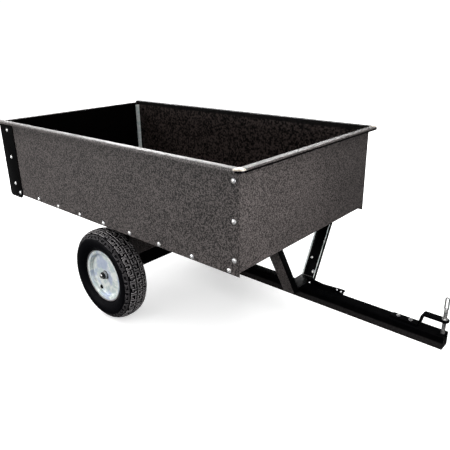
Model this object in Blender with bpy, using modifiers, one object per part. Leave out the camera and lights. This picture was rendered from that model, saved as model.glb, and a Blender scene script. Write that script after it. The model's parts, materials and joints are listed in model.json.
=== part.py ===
"""Tow behind dump cart: steel tub on two pneumatic wheels, with a latched tilting drawbar.

Frame: metres, +X forward to the hitch, +Y to the cart's left, +Z up.
The origin is on the ground, under the middle of the cart's overall box.
"""
import math

import bmesh
import bpy
from mathutils import Matrix, Vector

GAP = 0.0003                # space kept between touching pieces

# Tub
TUB_LENGTH = 1.524
TUB_WIDTH = 0.850           # over the outer faces of the side panels
TUB_FRONT_X = 0.499
TUB_REAR_X = TUB_FRONT_X - TUB_LENGTH
SIDE_BOTTOM_Z = 0.438
RIM_Z = 0.807               # top of the rims
SHEET = 0.002
RIM_WIDTH = 0.030
RIM_LIP = 0.010
FLOOR_TOP_Z = 0.4563
FLOOR_FLANGE = 0.016
FRONT_FLANGE = 0.040        # turned back along the side panels
WALL_Y = TUB_WIDTH / 2 - SHEET / 2      # middle of a side panel's sheet
INNER_Y = TUB_WIDTH / 2 - SHEET         # inner face of a side panel

# Rear posts, guides and tailgate
POST_SHEET = 0.003
POST_REAR_X = -1.035
POST_LENGTH = 0.128
POST_RETURN_Y = 0.400       # how far in the post's rear return reaches
POST_BOTTOM_Z = 0.421
POST_TOP_Z = 0.795
TAILGATE_X = -1.011
TAILGATE_TOP_Z = 0.799
TAILGATE_WIDTH = 0.834
TAILGATE_HEM = 0.016
TAILGATE_RIM = 0.020

# Carriage bolts
BOLT_R = 0.004
BOLT_HEAD_R = 0.009
BOLT_HEAD_H = 0.0045
NUT_R = 0.0075
NUT_H = 0.0065
BOLT_ROWS_Z = (0.492, 0.627, 0.761)
CORNER_BOLT_X = TUB_FRONT_X - 0.021
POST_BOLT_X = -0.961

# Wheels and axle
AXLE_X = -0.264
AXLE_Z = 0.203
TYRE_R = 0.203
TYRE_HALF_WIDTH = 0.061
TYRE_WALL = 0.007
WHEEL_Y = 0.396             # middle plane of each wheel
RIM_FLANGE_R = 0.113
RIM_HALF_WIDTH = 0.0385
RIM_SHEET = 0.0024
DISC_OFFSET = 0.027         # the disc lies this far outside the wheel's middle plane
HUB_R = 0.0165
HUB_BORE_R = 0.0130
HUB_HALF_LENGTH = 0.038
SHAFT_R = 0.0095
SHAFT_HALF_LENGTH = 0.4485
VALVE_ANGLE = math.radians(240)
VALVE_RADIUS = 0.085
WHEEL_SEGMENTS = 32

# Axle beam and bolster
BEAM_HALF_LENGTH = 0.316
BEAM_BOTTOM_Z = 0.185
BEAM_TOP_Z = 0.247
BEAM_HALF_DEPTH = 0.022
BEAM_SHEET = 0.003
NOTCH_HALF_WIDTH = 0.036
BOLSTER_HALF_LENGTH = 0.310
BOLSTER_TOP_HALF_DEPTH = 0.060
BOLSTER_FLANGE = 0.025

# Drawbar, square tube
BAR = 0.051
BAR_WALL = 0.003
BAR_REAR_X = AXLE_X + 0.030
BAR_FRONT_X = 1.030
BAR_TOP_Z = 0.236
BAR_Z = BAR_TOP_Z - BAR / 2
PIVOT_PLATE = 0.006
PIVOT_EYE_R = 0.020
PIVOT_PLATE_LENGTH = 0.160
TONGUE_BOLT_X = (AXLE_X + 0.062, AXLE_X + 0.130)
TONGUE_BOLT_R = 0.005

# V braces, rail and saddle
BRACE_X = 0.457
BRACE_WIDTH = 0.060
BRACE_FLANGE = 0.018
BRACE_SHEET = 0.003
BRACE_FOOT_Y = 0.074
BRACE_FOOT_Z = 0.224
BRACE_SLOPE = 0.54          # sideways run for each metre of rise
BRACE_TOP_Z = 0.4478
RAIL_TOP_Z = 0.4515
RAIL_HALF_LENGTH = 0.260
SADDLE_HALF_LENGTH = 0.059
SADDLE_SHEET = 0.006

# Latch pedal, beside the drawbar's left face
LATCH_Y = BAR / 2 + 0.0055
LATCH_SHEET = 0.006
LATCH_PIVOT_X = 0.535
LATCH_PIVOT_Z = 0.212
LATCH_STUD_R = 0.005
LATCH_BOSS_R = 0.013
PEDAL_TIP_X = 0.623
PEDAL_TIP_Z = 0.236
PEDAL_TIP_R = 0.014
FOOT_PAD_LENGTH = 0.018

# Hitch
HITCH_BOLT_X = (0.867, 0.911)
HITCH_PIN_X = 1.020
HITCH_PIN_R = 0.00635
HITCH_PIN_FOOT_Z = 0.186
STRAP_SHEET = 0.006
STRAP_HALF_WIDTH = 0.015
STRAP_REAR_X = 0.843
STRAP_RISER_X = (0.941, 0.951)
STRAP_TOP_Z = 0.287
PIN_LOOP_TOP_Z = 0.370
PIN_LOOP_FOOT_Z = 0.326
PIN_LOOP_WIDTH = 0.011      # between the middles of its two sides
PIN_LOOP_ROD_R = 0.0025

SIDES = {"left": 1, "right": -1}


# --- scene, collections and materials ---------------------------------------

def new_collection(name):
    collection = bpy.data.collections.new(name)
    bpy.context.scene.collection.children.link(collection)
    return collection


def clear_scene():
    for obj in list(bpy.data.objects):
        bpy.data.objects.remove(obj)


def paint(name, colour, roughness, metallic):
    material = bpy.data.materials.new(name)
    material.use_nodes = True
    shader = material.node_tree.nodes["Principled BSDF"]
    shader.inputs["Base Color"].default_value = (*colour, 1)
    shader.inputs["Roughness"].default_value = roughness
    shader.inputs["Metallic"].default_value = metallic
    material.diffuse_color = (*colour, 1)
    return material


clear_scene()
PARTS = new_collection("tow_behind_cart")
CUTTERS = new_collection("cutters")
HAMMERTONE = paint("hammertone_paint", (0.075, 0.068, 0.068), 0.45, 0.3)
BLACK = paint("black_paint", (0.006, 0.006, 0.007), 0.25, 0.0)
ZINC = paint("zinc_plate", (0.78, 0.80, 0.82), 0.3, 1.0)
GALVANISED = paint("galvanised_rim", (0.62, 0.66, 0.69), 0.4, 1.0)
RUBBER = paint("tyre_rubber", (0.012, 0.012, 0.014), 0.85, 0.0)
STEEL = paint("bare_steel", (0.45, 0.45, 0.46), 0.35, 1.0)
BRONZE = paint("bushing_bronze", (0.55, 0.40, 0.20), 0.4, 1.0)


# --- modelling helpers --------------------------------------------------------

def add_object(name, data):
    obj = bpy.data.objects.new(name, data)
    PARTS.objects.link(obj)
    return obj


def mesh_object(name, builder):
    """A new mesh object whose bmesh is filled by builder."""
    mesh = bpy.data.meshes.new(name)
    work = bmesh.new()
    builder(work)
    work.to_mesh(mesh)
    work.free()
    return add_object(name, mesh)


def shade_round(mesh):
    mesh.shade_smooth()
    mesh.set_sharp_from_angle(angle=math.radians(40))


def bake(obj):
    """Apply the object's modifiers, and give it back as a plain mesh, smooth where it is round."""
    bpy.context.view_layer.update()
    evaluated = obj.evaluated_get(bpy.context.evaluated_depsgraph_get())
    mesh = bpy.data.meshes.new_from_object(evaluated)
    work = bmesh.new()
    work.from_mesh(mesh)
    bmesh.ops.remove_doubles(work, verts=work.verts, dist=1e-6)
    work.to_mesh(mesh)
    work.free()
    shade_round(mesh)
    plain = add_object(obj.name + "_mesh", mesh)
    plain.matrix_world = obj.matrix_world.copy()
    name = obj.name
    bpy.data.objects.remove(obj)
    plain.name = name
    return plain


def as_cutter(obj):
    PARTS.objects.unlink(obj)
    CUTTERS.objects.link(obj)
    obj.hide_render = True
    obj.display_type = "WIRE"
    return obj


def combine(obj, other, operation):
    """Boolean of obj with other, which goes to the cutters."""
    as_cutter(other)
    modifier = obj.modifiers.new(operation.lower(), "BOOLEAN")
    modifier.operation = operation
    modifier.solver = "EXACT"
    modifier.object = other
    return obj


def finish(obj, material):
    obj.data.materials.clear()
    obj.data.materials.append(material)
    return obj


def box(name, low, high):
    """An axis-aligned box between two opposite corners."""
    size = Vector(high) - Vector(low)
    middle = (Vector(high) + Vector(low)) / 2

    def builder(work):
        bmesh.ops.create_cube(work, size=1)
        bmesh.ops.scale(work, vec=size, verts=work.verts)

    obj = mesh_object(name, builder)
    obj.location = middle
    return obj


def along(axis):
    """The rotation that turns +Z to the world's y or z axis."""
    if axis == "y":
        return Matrix.Rotation(math.radians(-90), 4, "X")
    return Matrix.Identity(4)


def cylinder(name, radius, start, end, centre, axis, segments=16):
    """A cylinder about a line through centre, from start to end along axis."""
    def builder(work):
        bmesh.ops.create_cone(work, cap_ends=True, segments=segments,
                              radius1=radius, radius2=radius, depth=end - start)
        bmesh.ops.translate(work, verts=work.verts, vec=(0, 0, (start + end) / 2))

    obj = mesh_object(name, builder)
    shade_round(obj.data)
    obj.matrix_world = Matrix.Translation(centre) @ along(axis)
    return obj


def polyline(work, points, closed):
    verts = [work.verts.new(point) for point in points]
    pairs = list(zip(verts, verts[1:]))
    if closed:
        pairs.append((verts[-1], verts[0]))
    for pair in pairs:
        work.edges.new(pair)


def turned(name, profile, centre, axis, closed=True, segments=16, flip=False):
    """Turn a profile of (radius, height) points about an axis through centre.

    The outer side of the profile runs from the top down.
    flip turns the piece end for end.
    """
    obj = mesh_object(name, lambda work: polyline(work, [(r, 0, h) for r, h in profile], closed))
    screw = obj.modifiers.new("turn", "SCREW")
    screw.steps = segments
    screw.render_steps = segments
    screw.use_merge_vertices = True
    screw.merge_threshold = 1e-5
    end = Matrix.Rotation(math.pi, 4, "X") if flip else Matrix.Identity(4)
    obj.matrix_world = Matrix.Translation(centre) @ along(axis) @ end
    return bake(obj)


def ring(name, inner, outer, start, end, centre, axis, segments=16):
    """A plain ring or sleeve about a line through centre."""
    profile = [(outer, end), (outer, start), (inner, start), (inner, end)]
    return turned(name, profile, centre, axis, segments=segments)


def thicken(obj, thickness):
    solid = obj.modifiers.new("thickness", "SOLIDIFY")
    solid.thickness = thickness
    solid.offset = 0
    solid.use_even_offset = True
    return obj


def folded_sheet(name, profile, axis, start, end, thickness):
    """A sheet folded along a profile of 2D points, running from start to end along axis.

    The profile's points are (y, z) for a run along x, (x, z) along y and (x, y) along z.
    """
    place = {
        "x": lambda a, b, run: (run, a, b),
        "y": lambda a, b, run: (a, run, b),
        "z": lambda a, b, run: (a, b, run),
    }[axis]
    step = Vector(place(0, 0, end - start))

    def builder(work):
        polyline(work, [place(a, b, start) for a, b in profile], closed=False)
        extruded = bmesh.ops.extrude_edge_only(work, edges=work.edges)
        moved = [item for item in extruded["geom"] if isinstance(item, bmesh.types.BMVert)]
        bmesh.ops.translate(work, verts=moved, vec=step)

    return thicken(mesh_object(name, builder), thickness)


def arc(centre, radius, start, end, steps):
    """Points on a circle, from start to end in degrees."""
    points = []
    for index in range(steps + 1):
        angle = math.radians(start + (end - start) * index / steps)
        points.append((centre[0] + radius * math.cos(angle), centre[1] + radius * math.sin(angle)))
    return points


def plate(name, outlines, thickness, place):
    """A flat plate from closed outlines, the first outside and the others holes.

    place takes the plate from its own XY plane, with its middle at z = 0, to the cart.
    """
    curve = bpy.data.curves.new(name, "CURVE")
    curve.dimensions = "2D"
    curve.fill_mode = "BOTH"
    curve.extrude = thickness / 2
    for outline in outlines:
        spline = curve.splines.new("POLY")
        spline.points.add(len(outline) - 1)
        for point, (a, b) in zip(spline.points, outline):
            point.co = (a, b, 0, 1)
        spline.use_cyclic_u = True
    obj = add_object(name, curve)
    obj.matrix_world = place
    return bake(obj)


def upright_plate(y):
    """Places a plate's XY in the cart's XZ plane, at a height of y across the cart."""
    return Matrix.Translation((0, y, 0)) @ Matrix.Rotation(math.radians(90), 4, "X")


def drill(obj, radius, centres, axis, reach, segments=12):
    """Cut round holes through obj, each reach long about its centre."""
    for index, centre in enumerate(centres):
        cutter = cylinder(f"{obj.name}_hole_{index}", radius, -reach / 2, reach / 2, centre, axis,
                          segments)
        combine(obj, cutter, "DIFFERENCE")
    return obj


def mirror_y(points):
    return [(a, -b) for a, b in points]


# --- tub ----------------------------------------------------------------------

def bolt_centres(side, x, rows=BOLT_ROWS_Z):
    return [(x, SIDES[side] * WALL_Y, z) for z in rows]


def floor_pan():
    top = FLOOR_TOP_Z - SHEET / 2
    edge = INNER_Y - GAP - SHEET / 2
    profile = [(-edge, top - FLOOR_FLANGE), (-edge, top), (edge, top), (edge, top - FLOOR_FLANGE)]
    pan = folded_sheet("floor_pan", profile, "x", TUB_REAR_X + 0.001,
                       TUB_FRONT_X - SHEET - GAP, SHEET)
    return finish(pan, HAMMERTONE)


def side_panel(side):
    sign = SIDES[side]
    rim = RIM_Z - SHEET / 2
    lip_y = sign * (WALL_Y + RIM_WIDTH)
    profile = [(sign * WALL_Y, SIDE_BOTTOM_Z), (sign * WALL_Y, rim), (lip_y, rim),
               (lip_y, rim - RIM_LIP)]
    panel = folded_sheet(f"side_panel_{side}", profile, "x", TUB_REAR_X, TUB_FRONT_X, SHEET)
    centres = bolt_centres(side, CORNER_BOLT_X) + bolt_centres(side, POST_BOLT_X)
    drill(panel, BOLT_R + GAP, centres, "y", 0.02)
    return finish(panel, HAMMERTONE)


def front_panel():
    wall = TUB_FRONT_X - SHEET / 2
    rim = RIM_Z - SHEET / 2
    foot = FLOOR_TOP_Z - SHEET - GAP - SHEET / 2
    half = INNER_Y - GAP
    rim_profile = [(wall, rim), (wall + RIM_WIDTH + SHEET / 2, rim),
                   (wall + RIM_WIDTH + SHEET / 2, rim - RIM_LIP)]
    profile = [(wall, foot - SHEET / 2)] + rim_profile
    panel = bake(folded_sheet("front_panel", profile, "y", -half, half, SHEET))
    shelf = box("front_shelf", (wall - 0.030, -half + 0.008, foot - SHEET / 2 + 0.0001),
                (wall, half - 0.008, foot + SHEET / 2))
    combine(panel, shelf, "UNION")
    end = TUB_WIDTH / 2 + RIM_WIDTH
    past_side = [(wall + SHEET / 2 + GAP, rim)] + rim_profile[1:]
    for side, sign in SIDES.items():
        near, far = sorted((sign * (half - 0.004), sign * end))
        corner = bake(folded_sheet(f"front_rim_{side}", past_side, "y", near, far, SHEET))
        combine(panel, corner, "UNION")
        inner, outer = sorted((sign * half, sign * (half - SHEET)))
        flange = box(f"front_flange_{side}", (wall - FRONT_FLANGE, inner, FLOOR_TOP_Z + 0.004),
                     (wall, outer, rim - 0.006))
        combine(panel, flange, "UNION")
        drill(panel, BOLT_R + GAP, bolt_centres(side, CORNER_BOLT_X), "y", 0.02)
    return finish(panel, HAMMERTONE)


def carriage_bolt(name, side, x, z, face_y, nut_y):
    """Domed head on the tub's outside, shank through the sheets, and nut inside.

    face_y and nut_y are distances from the middle of the cart.
    """
    sign = SIDES[side]
    dome = arc((0, face_y + GAP), 1, 90, 0, 3)
    head = [(BOLT_HEAD_R * r, face_y + GAP + BOLT_HEAD_H * (h - face_y - GAP)) for r, h in dome]
    head[0] = (0, head[0][1])
    nut_top = nut_y - GAP
    profile = head + [(BOLT_R, face_y + GAP), (BOLT_R, nut_top), (NUT_R, nut_top),
                      (NUT_R, nut_top - NUT_H), (0, nut_top - NUT_H)]
    bolt = turned(name, profile, (x, 0, z), "y", closed=False, segments=10, flip=sign < 0)
    return finish(bolt, ZINC)


def tub_bolts():
    face = TUB_WIDTH / 2
    for side in SIDES:
        for row, z in enumerate(BOLT_ROWS_Z, start=1):
            carriage_bolt(f"corner_bolt_{side}_{row}", side, CORNER_BOLT_X, z,
                          face, INNER_Y - GAP - SHEET)
            carriage_bolt(f"post_bolt_{side}_{row}", side, POST_BOLT_X, z,
                          face + GAP + POST_SHEET, INNER_Y)


def rear_post(side):
    sign = SIDES[side]
    outer = sign * (TUB_WIDTH / 2 + GAP + POST_SHEET / 2)
    rear = POST_REAR_X + POST_SHEET / 2
    profile = [(POST_REAR_X + POST_LENGTH, outer), (rear, outer), (rear, sign * POST_RETURN_Y)]
    post = folded_sheet(f"rear_post_{side}", profile, "z", POST_BOTTOM_Z, POST_TOP_Z, POST_SHEET)
    drill(post, BOLT_R + GAP, bolt_centres(side, POST_BOLT_X), "y", 0.02)
    return finish(post, BLACK)


def tailgate_guide(side):
    sign = SIDES[side]
    wall = sign * (INNER_Y - GAP - SHEET / 2)
    front = TAILGATE_X + 0.005
    profile = [(front + 0.018, wall), (front, wall), (front, sign * POST_RETURN_Y)]
    guide = folded_sheet(f"tailgate_guide_{side}", profile, "z", FLOOR_TOP_Z + GAP,
                         POST_TOP_Z - 0.010, SHEET)
    return finish(guide, GALVANISED)


def tailgate():
    half = TAILGATE_WIDTH / 2
    foot = FLOOR_TOP_Z + GAP
    hem = TAILGATE_X - TAILGATE_HEM
    profile = [(hem, -half), (TAILGATE_X, -half), (TAILGATE_X, half), (hem, half)]
    gate = bake(folded_sheet("tailgate", profile, "z", foot, TAILGATE_TOP_Z, SHEET))
    rim = box("tailgate_rim", (TAILGATE_X - TAILGATE_RIM, -half - SHEET / 4, TAILGATE_TOP_Z - SHEET),
              (TAILGATE_X, half + SHEET / 4, TAILGATE_TOP_Z - 0.0001))
    combine(gate, rim, "UNION")
    return finish(gate, HAMMERTONE)


# --- running gear ---------------------------------------------------------------

def wheel_centre(side):
    return (AXLE_X, SIDES[side] * WHEEL_Y, AXLE_Z)


def tyre_section(half_width, half_height, middle_r, last_angle, steps):
    """Half of a rounded section, from the crown down to last_angle, as (radius, height)."""
    power = 2 / 2.3
    points = []
    for index in range(steps + 1):
        angle = math.radians(last_angle) * index / steps
        rise = math.cos(angle)
        run = math.sin(angle)
        points.append((middle_r + half_height * math.copysign(abs(rise) ** power, rise),
                       half_width * run ** power))
    return points


def tyre(side):
    """A hollow tyre, open towards the rim."""
    bead_r = RIM_FLANGE_R - 0.011
    bead_y = RIM_HALF_WIDTH - RIM_SHEET / 2 - 0.0006
    middle = (TYRE_R + RIM_FLANGE_R) / 2
    outside = tyre_section(TYRE_HALF_WIDTH, TYRE_R - middle, middle, 132, 5)
    outside += [(RIM_FLANGE_R + 0.002, RIM_HALF_WIDTH + 0.0022), (RIM_FLANGE_R + 0.0016, bead_y),
                (bead_r, bead_y)]
    inside = tyre_section(TYRE_HALF_WIDTH - TYRE_WALL, TYRE_R - middle - TYRE_WALL, middle, 132, 3)
    inside += [(bead_r, bead_y - 0.010)]
    lower_out = mirror_y(outside[1:])
    lower_in = mirror_y(inside[1:])
    # down the outside from the upper bead, then up the inside
    profile = outside[:0:-1] + [outside[0]] + lower_out
    profile += lower_in[::-1] + [inside[0]] + inside[1:]
    body = turned(f"tyre_{side}", profile, wheel_centre(side), "y", segments=WHEEL_SEGMENTS)
    return finish(body, RUBBER)


def rim_barrel(side):
    seat = RIM_FLANGE_R - 0.0126
    drop = seat - 0.0100
    half = [(RIM_FLANGE_R, RIM_HALF_WIDTH), (seat, RIM_HALF_WIDTH), (seat, 0.022), (drop, 0.012)]
    profile = half + mirror_y(half)[::-1]
    barrel = turned(f"rim_barrel_{side}", profile, wheel_centre(side), "y", closed=False,
                    segments=WHEEL_SEGMENTS)
    thicken(barrel, RIM_SHEET)
    return finish(barrel, GALVANISED)


def wheel_disc(side):
    """The pressed disc that carries the barrel on the hub, with the valve's slot."""
    edge = RIM_FLANGE_R - 0.0126 - RIM_SHEET - GAP - 0.0002
    out = DISC_OFFSET
    profile = [(edge, out + 0.008), (edge, out), (edge - 0.008, out - 0.003),
               (0.060, out), (HUB_R + 0.0005, out)]
    disc = turned(f"wheel_disc_{side}", profile, wheel_centre(side), "y", closed=False,
                  segments=WHEEL_SEGMENTS, flip=SIDES[side] < 0)
    thicken(disc, RIM_SHEET)
    x, y, z = wheel_centre(side)
    hole = (x + VALVE_RADIUS * math.cos(VALVE_ANGLE), y, z + VALVE_RADIUS * math.sin(VALVE_ANGLE))
    drill(disc, 0.0075, [hole], "y", 0.12)
    return finish(disc, GALVANISED)


def hub(side):
    centre = wheel_centre(side)
    tube = ring(f"hub_tube_{side}", HUB_BORE_R, HUB_R, -HUB_HALF_LENGTH, HUB_HALF_LENGTH,
                centre, "y", 16)
    finish(tube, STEEL)
    bore = SHAFT_R + GAP
    sleeve = HUB_BORE_R - GAP
    flange = HUB_HALF_LENGTH + GAP
    profile = [(HUB_R, flange + 0.0017), (HUB_R, flange), (sleeve, flange),
               (sleeve, flange - 0.020), (bore, flange - 0.020), (bore, flange + 0.0017)]
    for place, outward in (("outer", 1), ("inner", -1)):
        bushing = turned(f"bushing_{place}_{side}", profile, centre, "y", segments=16,
                         flip=outward * SIDES[side] < 0)
        finish(bushing, BRONZE)


def axle_fittings(side):
    """Washer and nut outside the hub, and the spacer between the hub and the beam."""
    sign = SIDES[side]
    line = (AXLE_X, 0, AXLE_Z)
    bore = SHAFT_R + GAP
    hub_end = WHEEL_Y + HUB_HALF_LENGTH + 0.0020 + GAP
    stack = [("axle_washer", bore, 0.016, hub_end, hub_end + 0.0020, 24, ZINC),
             ("axle_nut", bore, 0.0125, hub_end + 0.0023, hub_end + 0.0093, 6, ZINC),
             ("hub_spacer", bore, HUB_BORE_R, BEAM_HALF_LENGTH + GAP,
              WHEEL_Y - HUB_HALF_LENGTH - 0.0020 - GAP, 16, STEEL)]
    for name, inner, outer, start, end, segments, material in stack:
        low, high = sorted((sign * start, sign * end))
        if segments == 6:
            piece = cylinder(f"{name}_{side}", outer, low, high, line, "y", segments)
            drill(piece, inner, [(AXLE_X, sign * (start + end) / 2, AXLE_Z)], "y", 0.02, 16)
        else:
            piece = ring(f"{name}_{side}", inner, outer, low, high, line, "y", segments)
        finish(piece, material)


def axle_shaft():
    line = (AXLE_X, 0, AXLE_Z)
    shaft = cylinder("axle_shaft", SHAFT_R, -SHAFT_HALF_LENGTH, SHAFT_HALF_LENGTH, line, "y", 24)
    return finish(shaft, STEEL)


def axle_beam():
    """A channel open to the rear, with end plates that hold the shaft and a notch for the drawbar."""
    half = BEAM_SHEET / 2
    rear = AXLE_X - BEAM_HALF_DEPTH
    front = AXLE_X + BEAM_HALF_DEPTH - half
    low = BEAM_BOTTOM_Z + half
    high = BEAM_TOP_Z - half
    profile = [(rear, high), (front, high), (front, low), (rear, low)]
    beam = bake(folded_sheet("axle_beam", profile, "y", -BEAM_HALF_LENGTH, BEAM_HALF_LENGTH,
                             BEAM_SHEET))
    for side, sign in SIDES.items():
        inner, outer = sorted((sign * (BEAM_HALF_LENGTH - 0.005), sign * (BEAM_HALF_LENGTH - 0.0005)))
        end = box(f"beam_end_{side}", (rear, inner, low), (front, outer, high))
        combine(beam, end, "UNION")
    notch = box("beam_notch", (rear - 0.01, -NOTCH_HALF_WIDTH, BEAM_BOTTOM_Z - 0.01),
                (front + 0.01, NOTCH_HALF_WIDTH, BEAM_TOP_Z - 0.006))
    combine(beam, notch, "DIFFERENCE")
    ends = [(AXLE_X, sign * BEAM_HALF_LENGTH, AXLE_Z) for sign in SIDES.values()]
    drill(beam, SHAFT_R + GAP, ends, "y", 0.03, 16)
    return finish(beam, BLACK)


def bolster():
    """The folded trough that carries the tub on the axle beam."""
    foot = BEAM_TOP_Z + GAP + BEAM_SHEET / 2
    top = FLOOR_TOP_Z - SHEET - GAP - BEAM_SHEET / 2
    narrow = BEAM_HALF_DEPTH - 0.001
    wide = BOLSTER_TOP_HALF_DEPTH
    outline = [(-wide - BOLSTER_FLANGE, top), (-wide, top), (-narrow, foot),
               (narrow, foot), (wide, top), (wide + BOLSTER_FLANGE, top)]
    profile = [(AXLE_X + x, z) for x, z in outline]
    trough = folded_sheet("bolster", profile, "y", -BOLSTER_HALF_LENGTH, BOLSTER_HALF_LENGTH,
                          BEAM_SHEET)
    return finish(trough, HAMMERTONE)


# --- drawbar ----------------------------------------------------------------------

def drawbar():
    bar = box("drawbar", (BAR_REAR_X, -BAR / 2, BAR_TOP_Z - BAR), (BAR_FRONT_X, BAR / 2, BAR_TOP_Z))
    inner = BAR / 2 - BAR_WALL
    hollow = box("drawbar_hollow", (BAR_REAR_X - 0.01, -inner, BAR_Z - inner),
                 (BAR_FRONT_X + 0.01, inner, BAR_Z + inner))
    combine(bar, hollow, "DIFFERENCE")
    drill(bar, HITCH_PIN_R + 2 * GAP, [(HITCH_PIN_X, 0, BAR_Z)], "z", 0.08, 20)
    drill(bar, BOLT_R + GAP, [(x, 0, BAR_TOP_Z) for x in HITCH_BOLT_X], "z", 0.02)
    drill(bar, TONGUE_BOLT_R + GAP, [(x, 0, BAR_Z) for x in TONGUE_BOLT_X], "y", 0.08)
    return finish(bar, BLACK)


def pivot_plate(side):
    """A plate beside the drawbar's rear end, with the eye that turns on the axle shaft."""
    low = BAR_TOP_Z - BAR + 0.002
    high = BAR_TOP_Z - 0.004
    front = AXLE_X + PIVOT_PLATE_LENGTH
    eye = arc((AXLE_X, AXLE_Z), PIVOT_EYE_R, 90, 270, 10)
    outline = eye[:-1] + [(AXLE_X + 0.004, low), (front, low), (front, high), (AXLE_X + 0.030, high)]
    bore = arc((AXLE_X, AXLE_Z), SHAFT_R + GAP, 0, 345, 23)
    middle = SIDES[side] * (BAR / 2 + GAP + PIVOT_PLATE / 2)
    piece = plate(f"pivot_plate_{side}", [outline, bore], PIVOT_PLATE, upright_plate(middle))
    drill(piece, TONGUE_BOLT_R + GAP, [(x, middle, BAR_Z) for x in TONGUE_BOLT_X], "y", 0.02)
    return finish(piece, BLACK)


def tongue_bolts():
    face = BAR / 2 + PIVOT_PLATE + 2 * GAP
    head = face + 0.005
    profile = [(0, head), (0.009, head), (0.009, face), (TONGUE_BOLT_R, face),
               (TONGUE_BOLT_R, -face), (0.0085, -face), (0.0085, -head), (0, -head)]
    for name, x in zip(("rear", "front"), TONGUE_BOLT_X):
        bolt = turned(f"tongue_bolt_{name}", profile, (x, 0, BAR_Z), "y", closed=False, segments=12)
        finish(bolt, ZINC)


# --- braces and latch ---------------------------------------------------------------

def v_brace(side):
    """A channel leaning out from the drawbar to the rail, its flanges turned inwards."""
    sign = SIDES[side]
    lean = math.atan(BRACE_SLOPE)
    half = BRACE_WIDTH / 2 - BRACE_SHEET / 2
    web = -BRACE_SHEET / 2
    lip = -BRACE_FLANGE
    profile = [(-half, sign * lip), (-half, sign * web), (half, sign * web), (half, sign * lip)]
    rise = (BRACE_TOP_Z - BRACE_FOOT_Z) / math.cos(lean)
    channel = folded_sheet(f"v_brace_{side}", profile, "z", -0.04, rise + 0.04, BRACE_SHEET)
    foot = Matrix.Translation((BRACE_X, sign * BRACE_FOOT_Y, BRACE_FOOT_Z))
    channel.matrix_world = foot @ Matrix.Rotation(-sign * lean, 4, "X")
    trimmed = bake(channel)
    slab = box(f"v_brace_{side}_trim", (BRACE_X - 0.05, -0.4, BRACE_FOOT_Z),
               (BRACE_X + 0.05, 0.4, BRACE_TOP_Z))
    combine(trimmed, slab, "INTERSECT")
    return finish(trimmed, HAMMERTONE)


def brace_rail():
    """The flat rail under the floor that the braces are welded to."""
    rail = box("brace_rail", (BRACE_X - 0.032, -RAIL_HALF_LENGTH, BRACE_TOP_Z + GAP),
               (BRACE_X + 0.032, RAIL_HALF_LENGTH, RAIL_TOP_Z))
    return finish(rail, BLACK)


def brace_saddle():
    """The plate between the braces' feet, which rests on the drawbar."""
    saddle = box("brace_saddle", (BRACE_X - 0.028, -SADDLE_HALF_LENGTH, BAR_TOP_Z + GAP),
                 (BRACE_X + BRACE_WIDTH / 2, SADDLE_HALF_LENGTH, BAR_TOP_Z + GAP + SADDLE_SHEET))
    return finish(saddle, BLACK)


def latch_pedal():
    """A lever with a hook over the saddle's front edge, turning on the pivot stud."""
    saddle_top = BAR_TOP_Z + GAP + SADDLE_SHEET
    saddle_front = BRACE_X + BRACE_WIDTH / 2
    hook_foot = saddle_top + GAP
    hook_top = hook_foot + 0.009
    throat = saddle_front + 0.002
    outline = arc((LATCH_PIVOT_X, LATCH_PIVOT_Z), LATCH_BOSS_R, 180, 310, 7)
    outline += arc((PEDAL_TIP_X, PEDAL_TIP_Z), PEDAL_TIP_R, -90, 90, 8)
    outline += [(LATCH_PIVOT_X + 0.012, hook_top - 0.006), (throat + 0.006, hook_top),
                (saddle_front - 0.012, hook_top), (saddle_front - 0.014, hook_foot),
                (throat, hook_foot), (throat, LATCH_PIVOT_Z + 0.016)]
    bore = arc((LATCH_PIVOT_X, LATCH_PIVOT_Z), LATCH_STUD_R + GAP, 0, 330, 11)
    pedal = plate("latch_pedal", [outline, bore], LATCH_SHEET, upright_plate(LATCH_Y))
    return finish(pedal, BLACK)


def latch_fittings():
    """The stud in the drawbar's left face, the return spring on it, and the foot pad."""
    pivot = (LATCH_PIVOT_X, 0, LATCH_PIVOT_Z)
    face = BAR / 2 + GAP
    spring_start = LATCH_Y + LATCH_SHEET / 2 + GAP
    spring_end = spring_start + 0.010
    head = spring_end + GAP
    profile = [(0, head + 0.004), (0.009, head + 0.004), (0.009, head), (LATCH_STUD_R, head),
               (LATCH_STUD_R, face), (0, face)]
    stud = turned("latch_stud", profile, pivot, "y", closed=False, segments=16)
    finish(stud, ZINC)
    spring = ring("latch_spring", LATCH_STUD_R + GAP, 0.0085, spring_start, spring_end, pivot, "y")
    finish(spring, STEEL)
    pad = box("foot_pad", (PEDAL_TIP_X - 0.013, spring_start, PEDAL_TIP_Z - 0.002),
              (PEDAL_TIP_X + 0.011, spring_start + FOOT_PAD_LENGTH, PEDAL_TIP_Z + 0.004))
    finish(pad, BLACK)


# --- hitch ----------------------------------------------------------------------------

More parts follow.
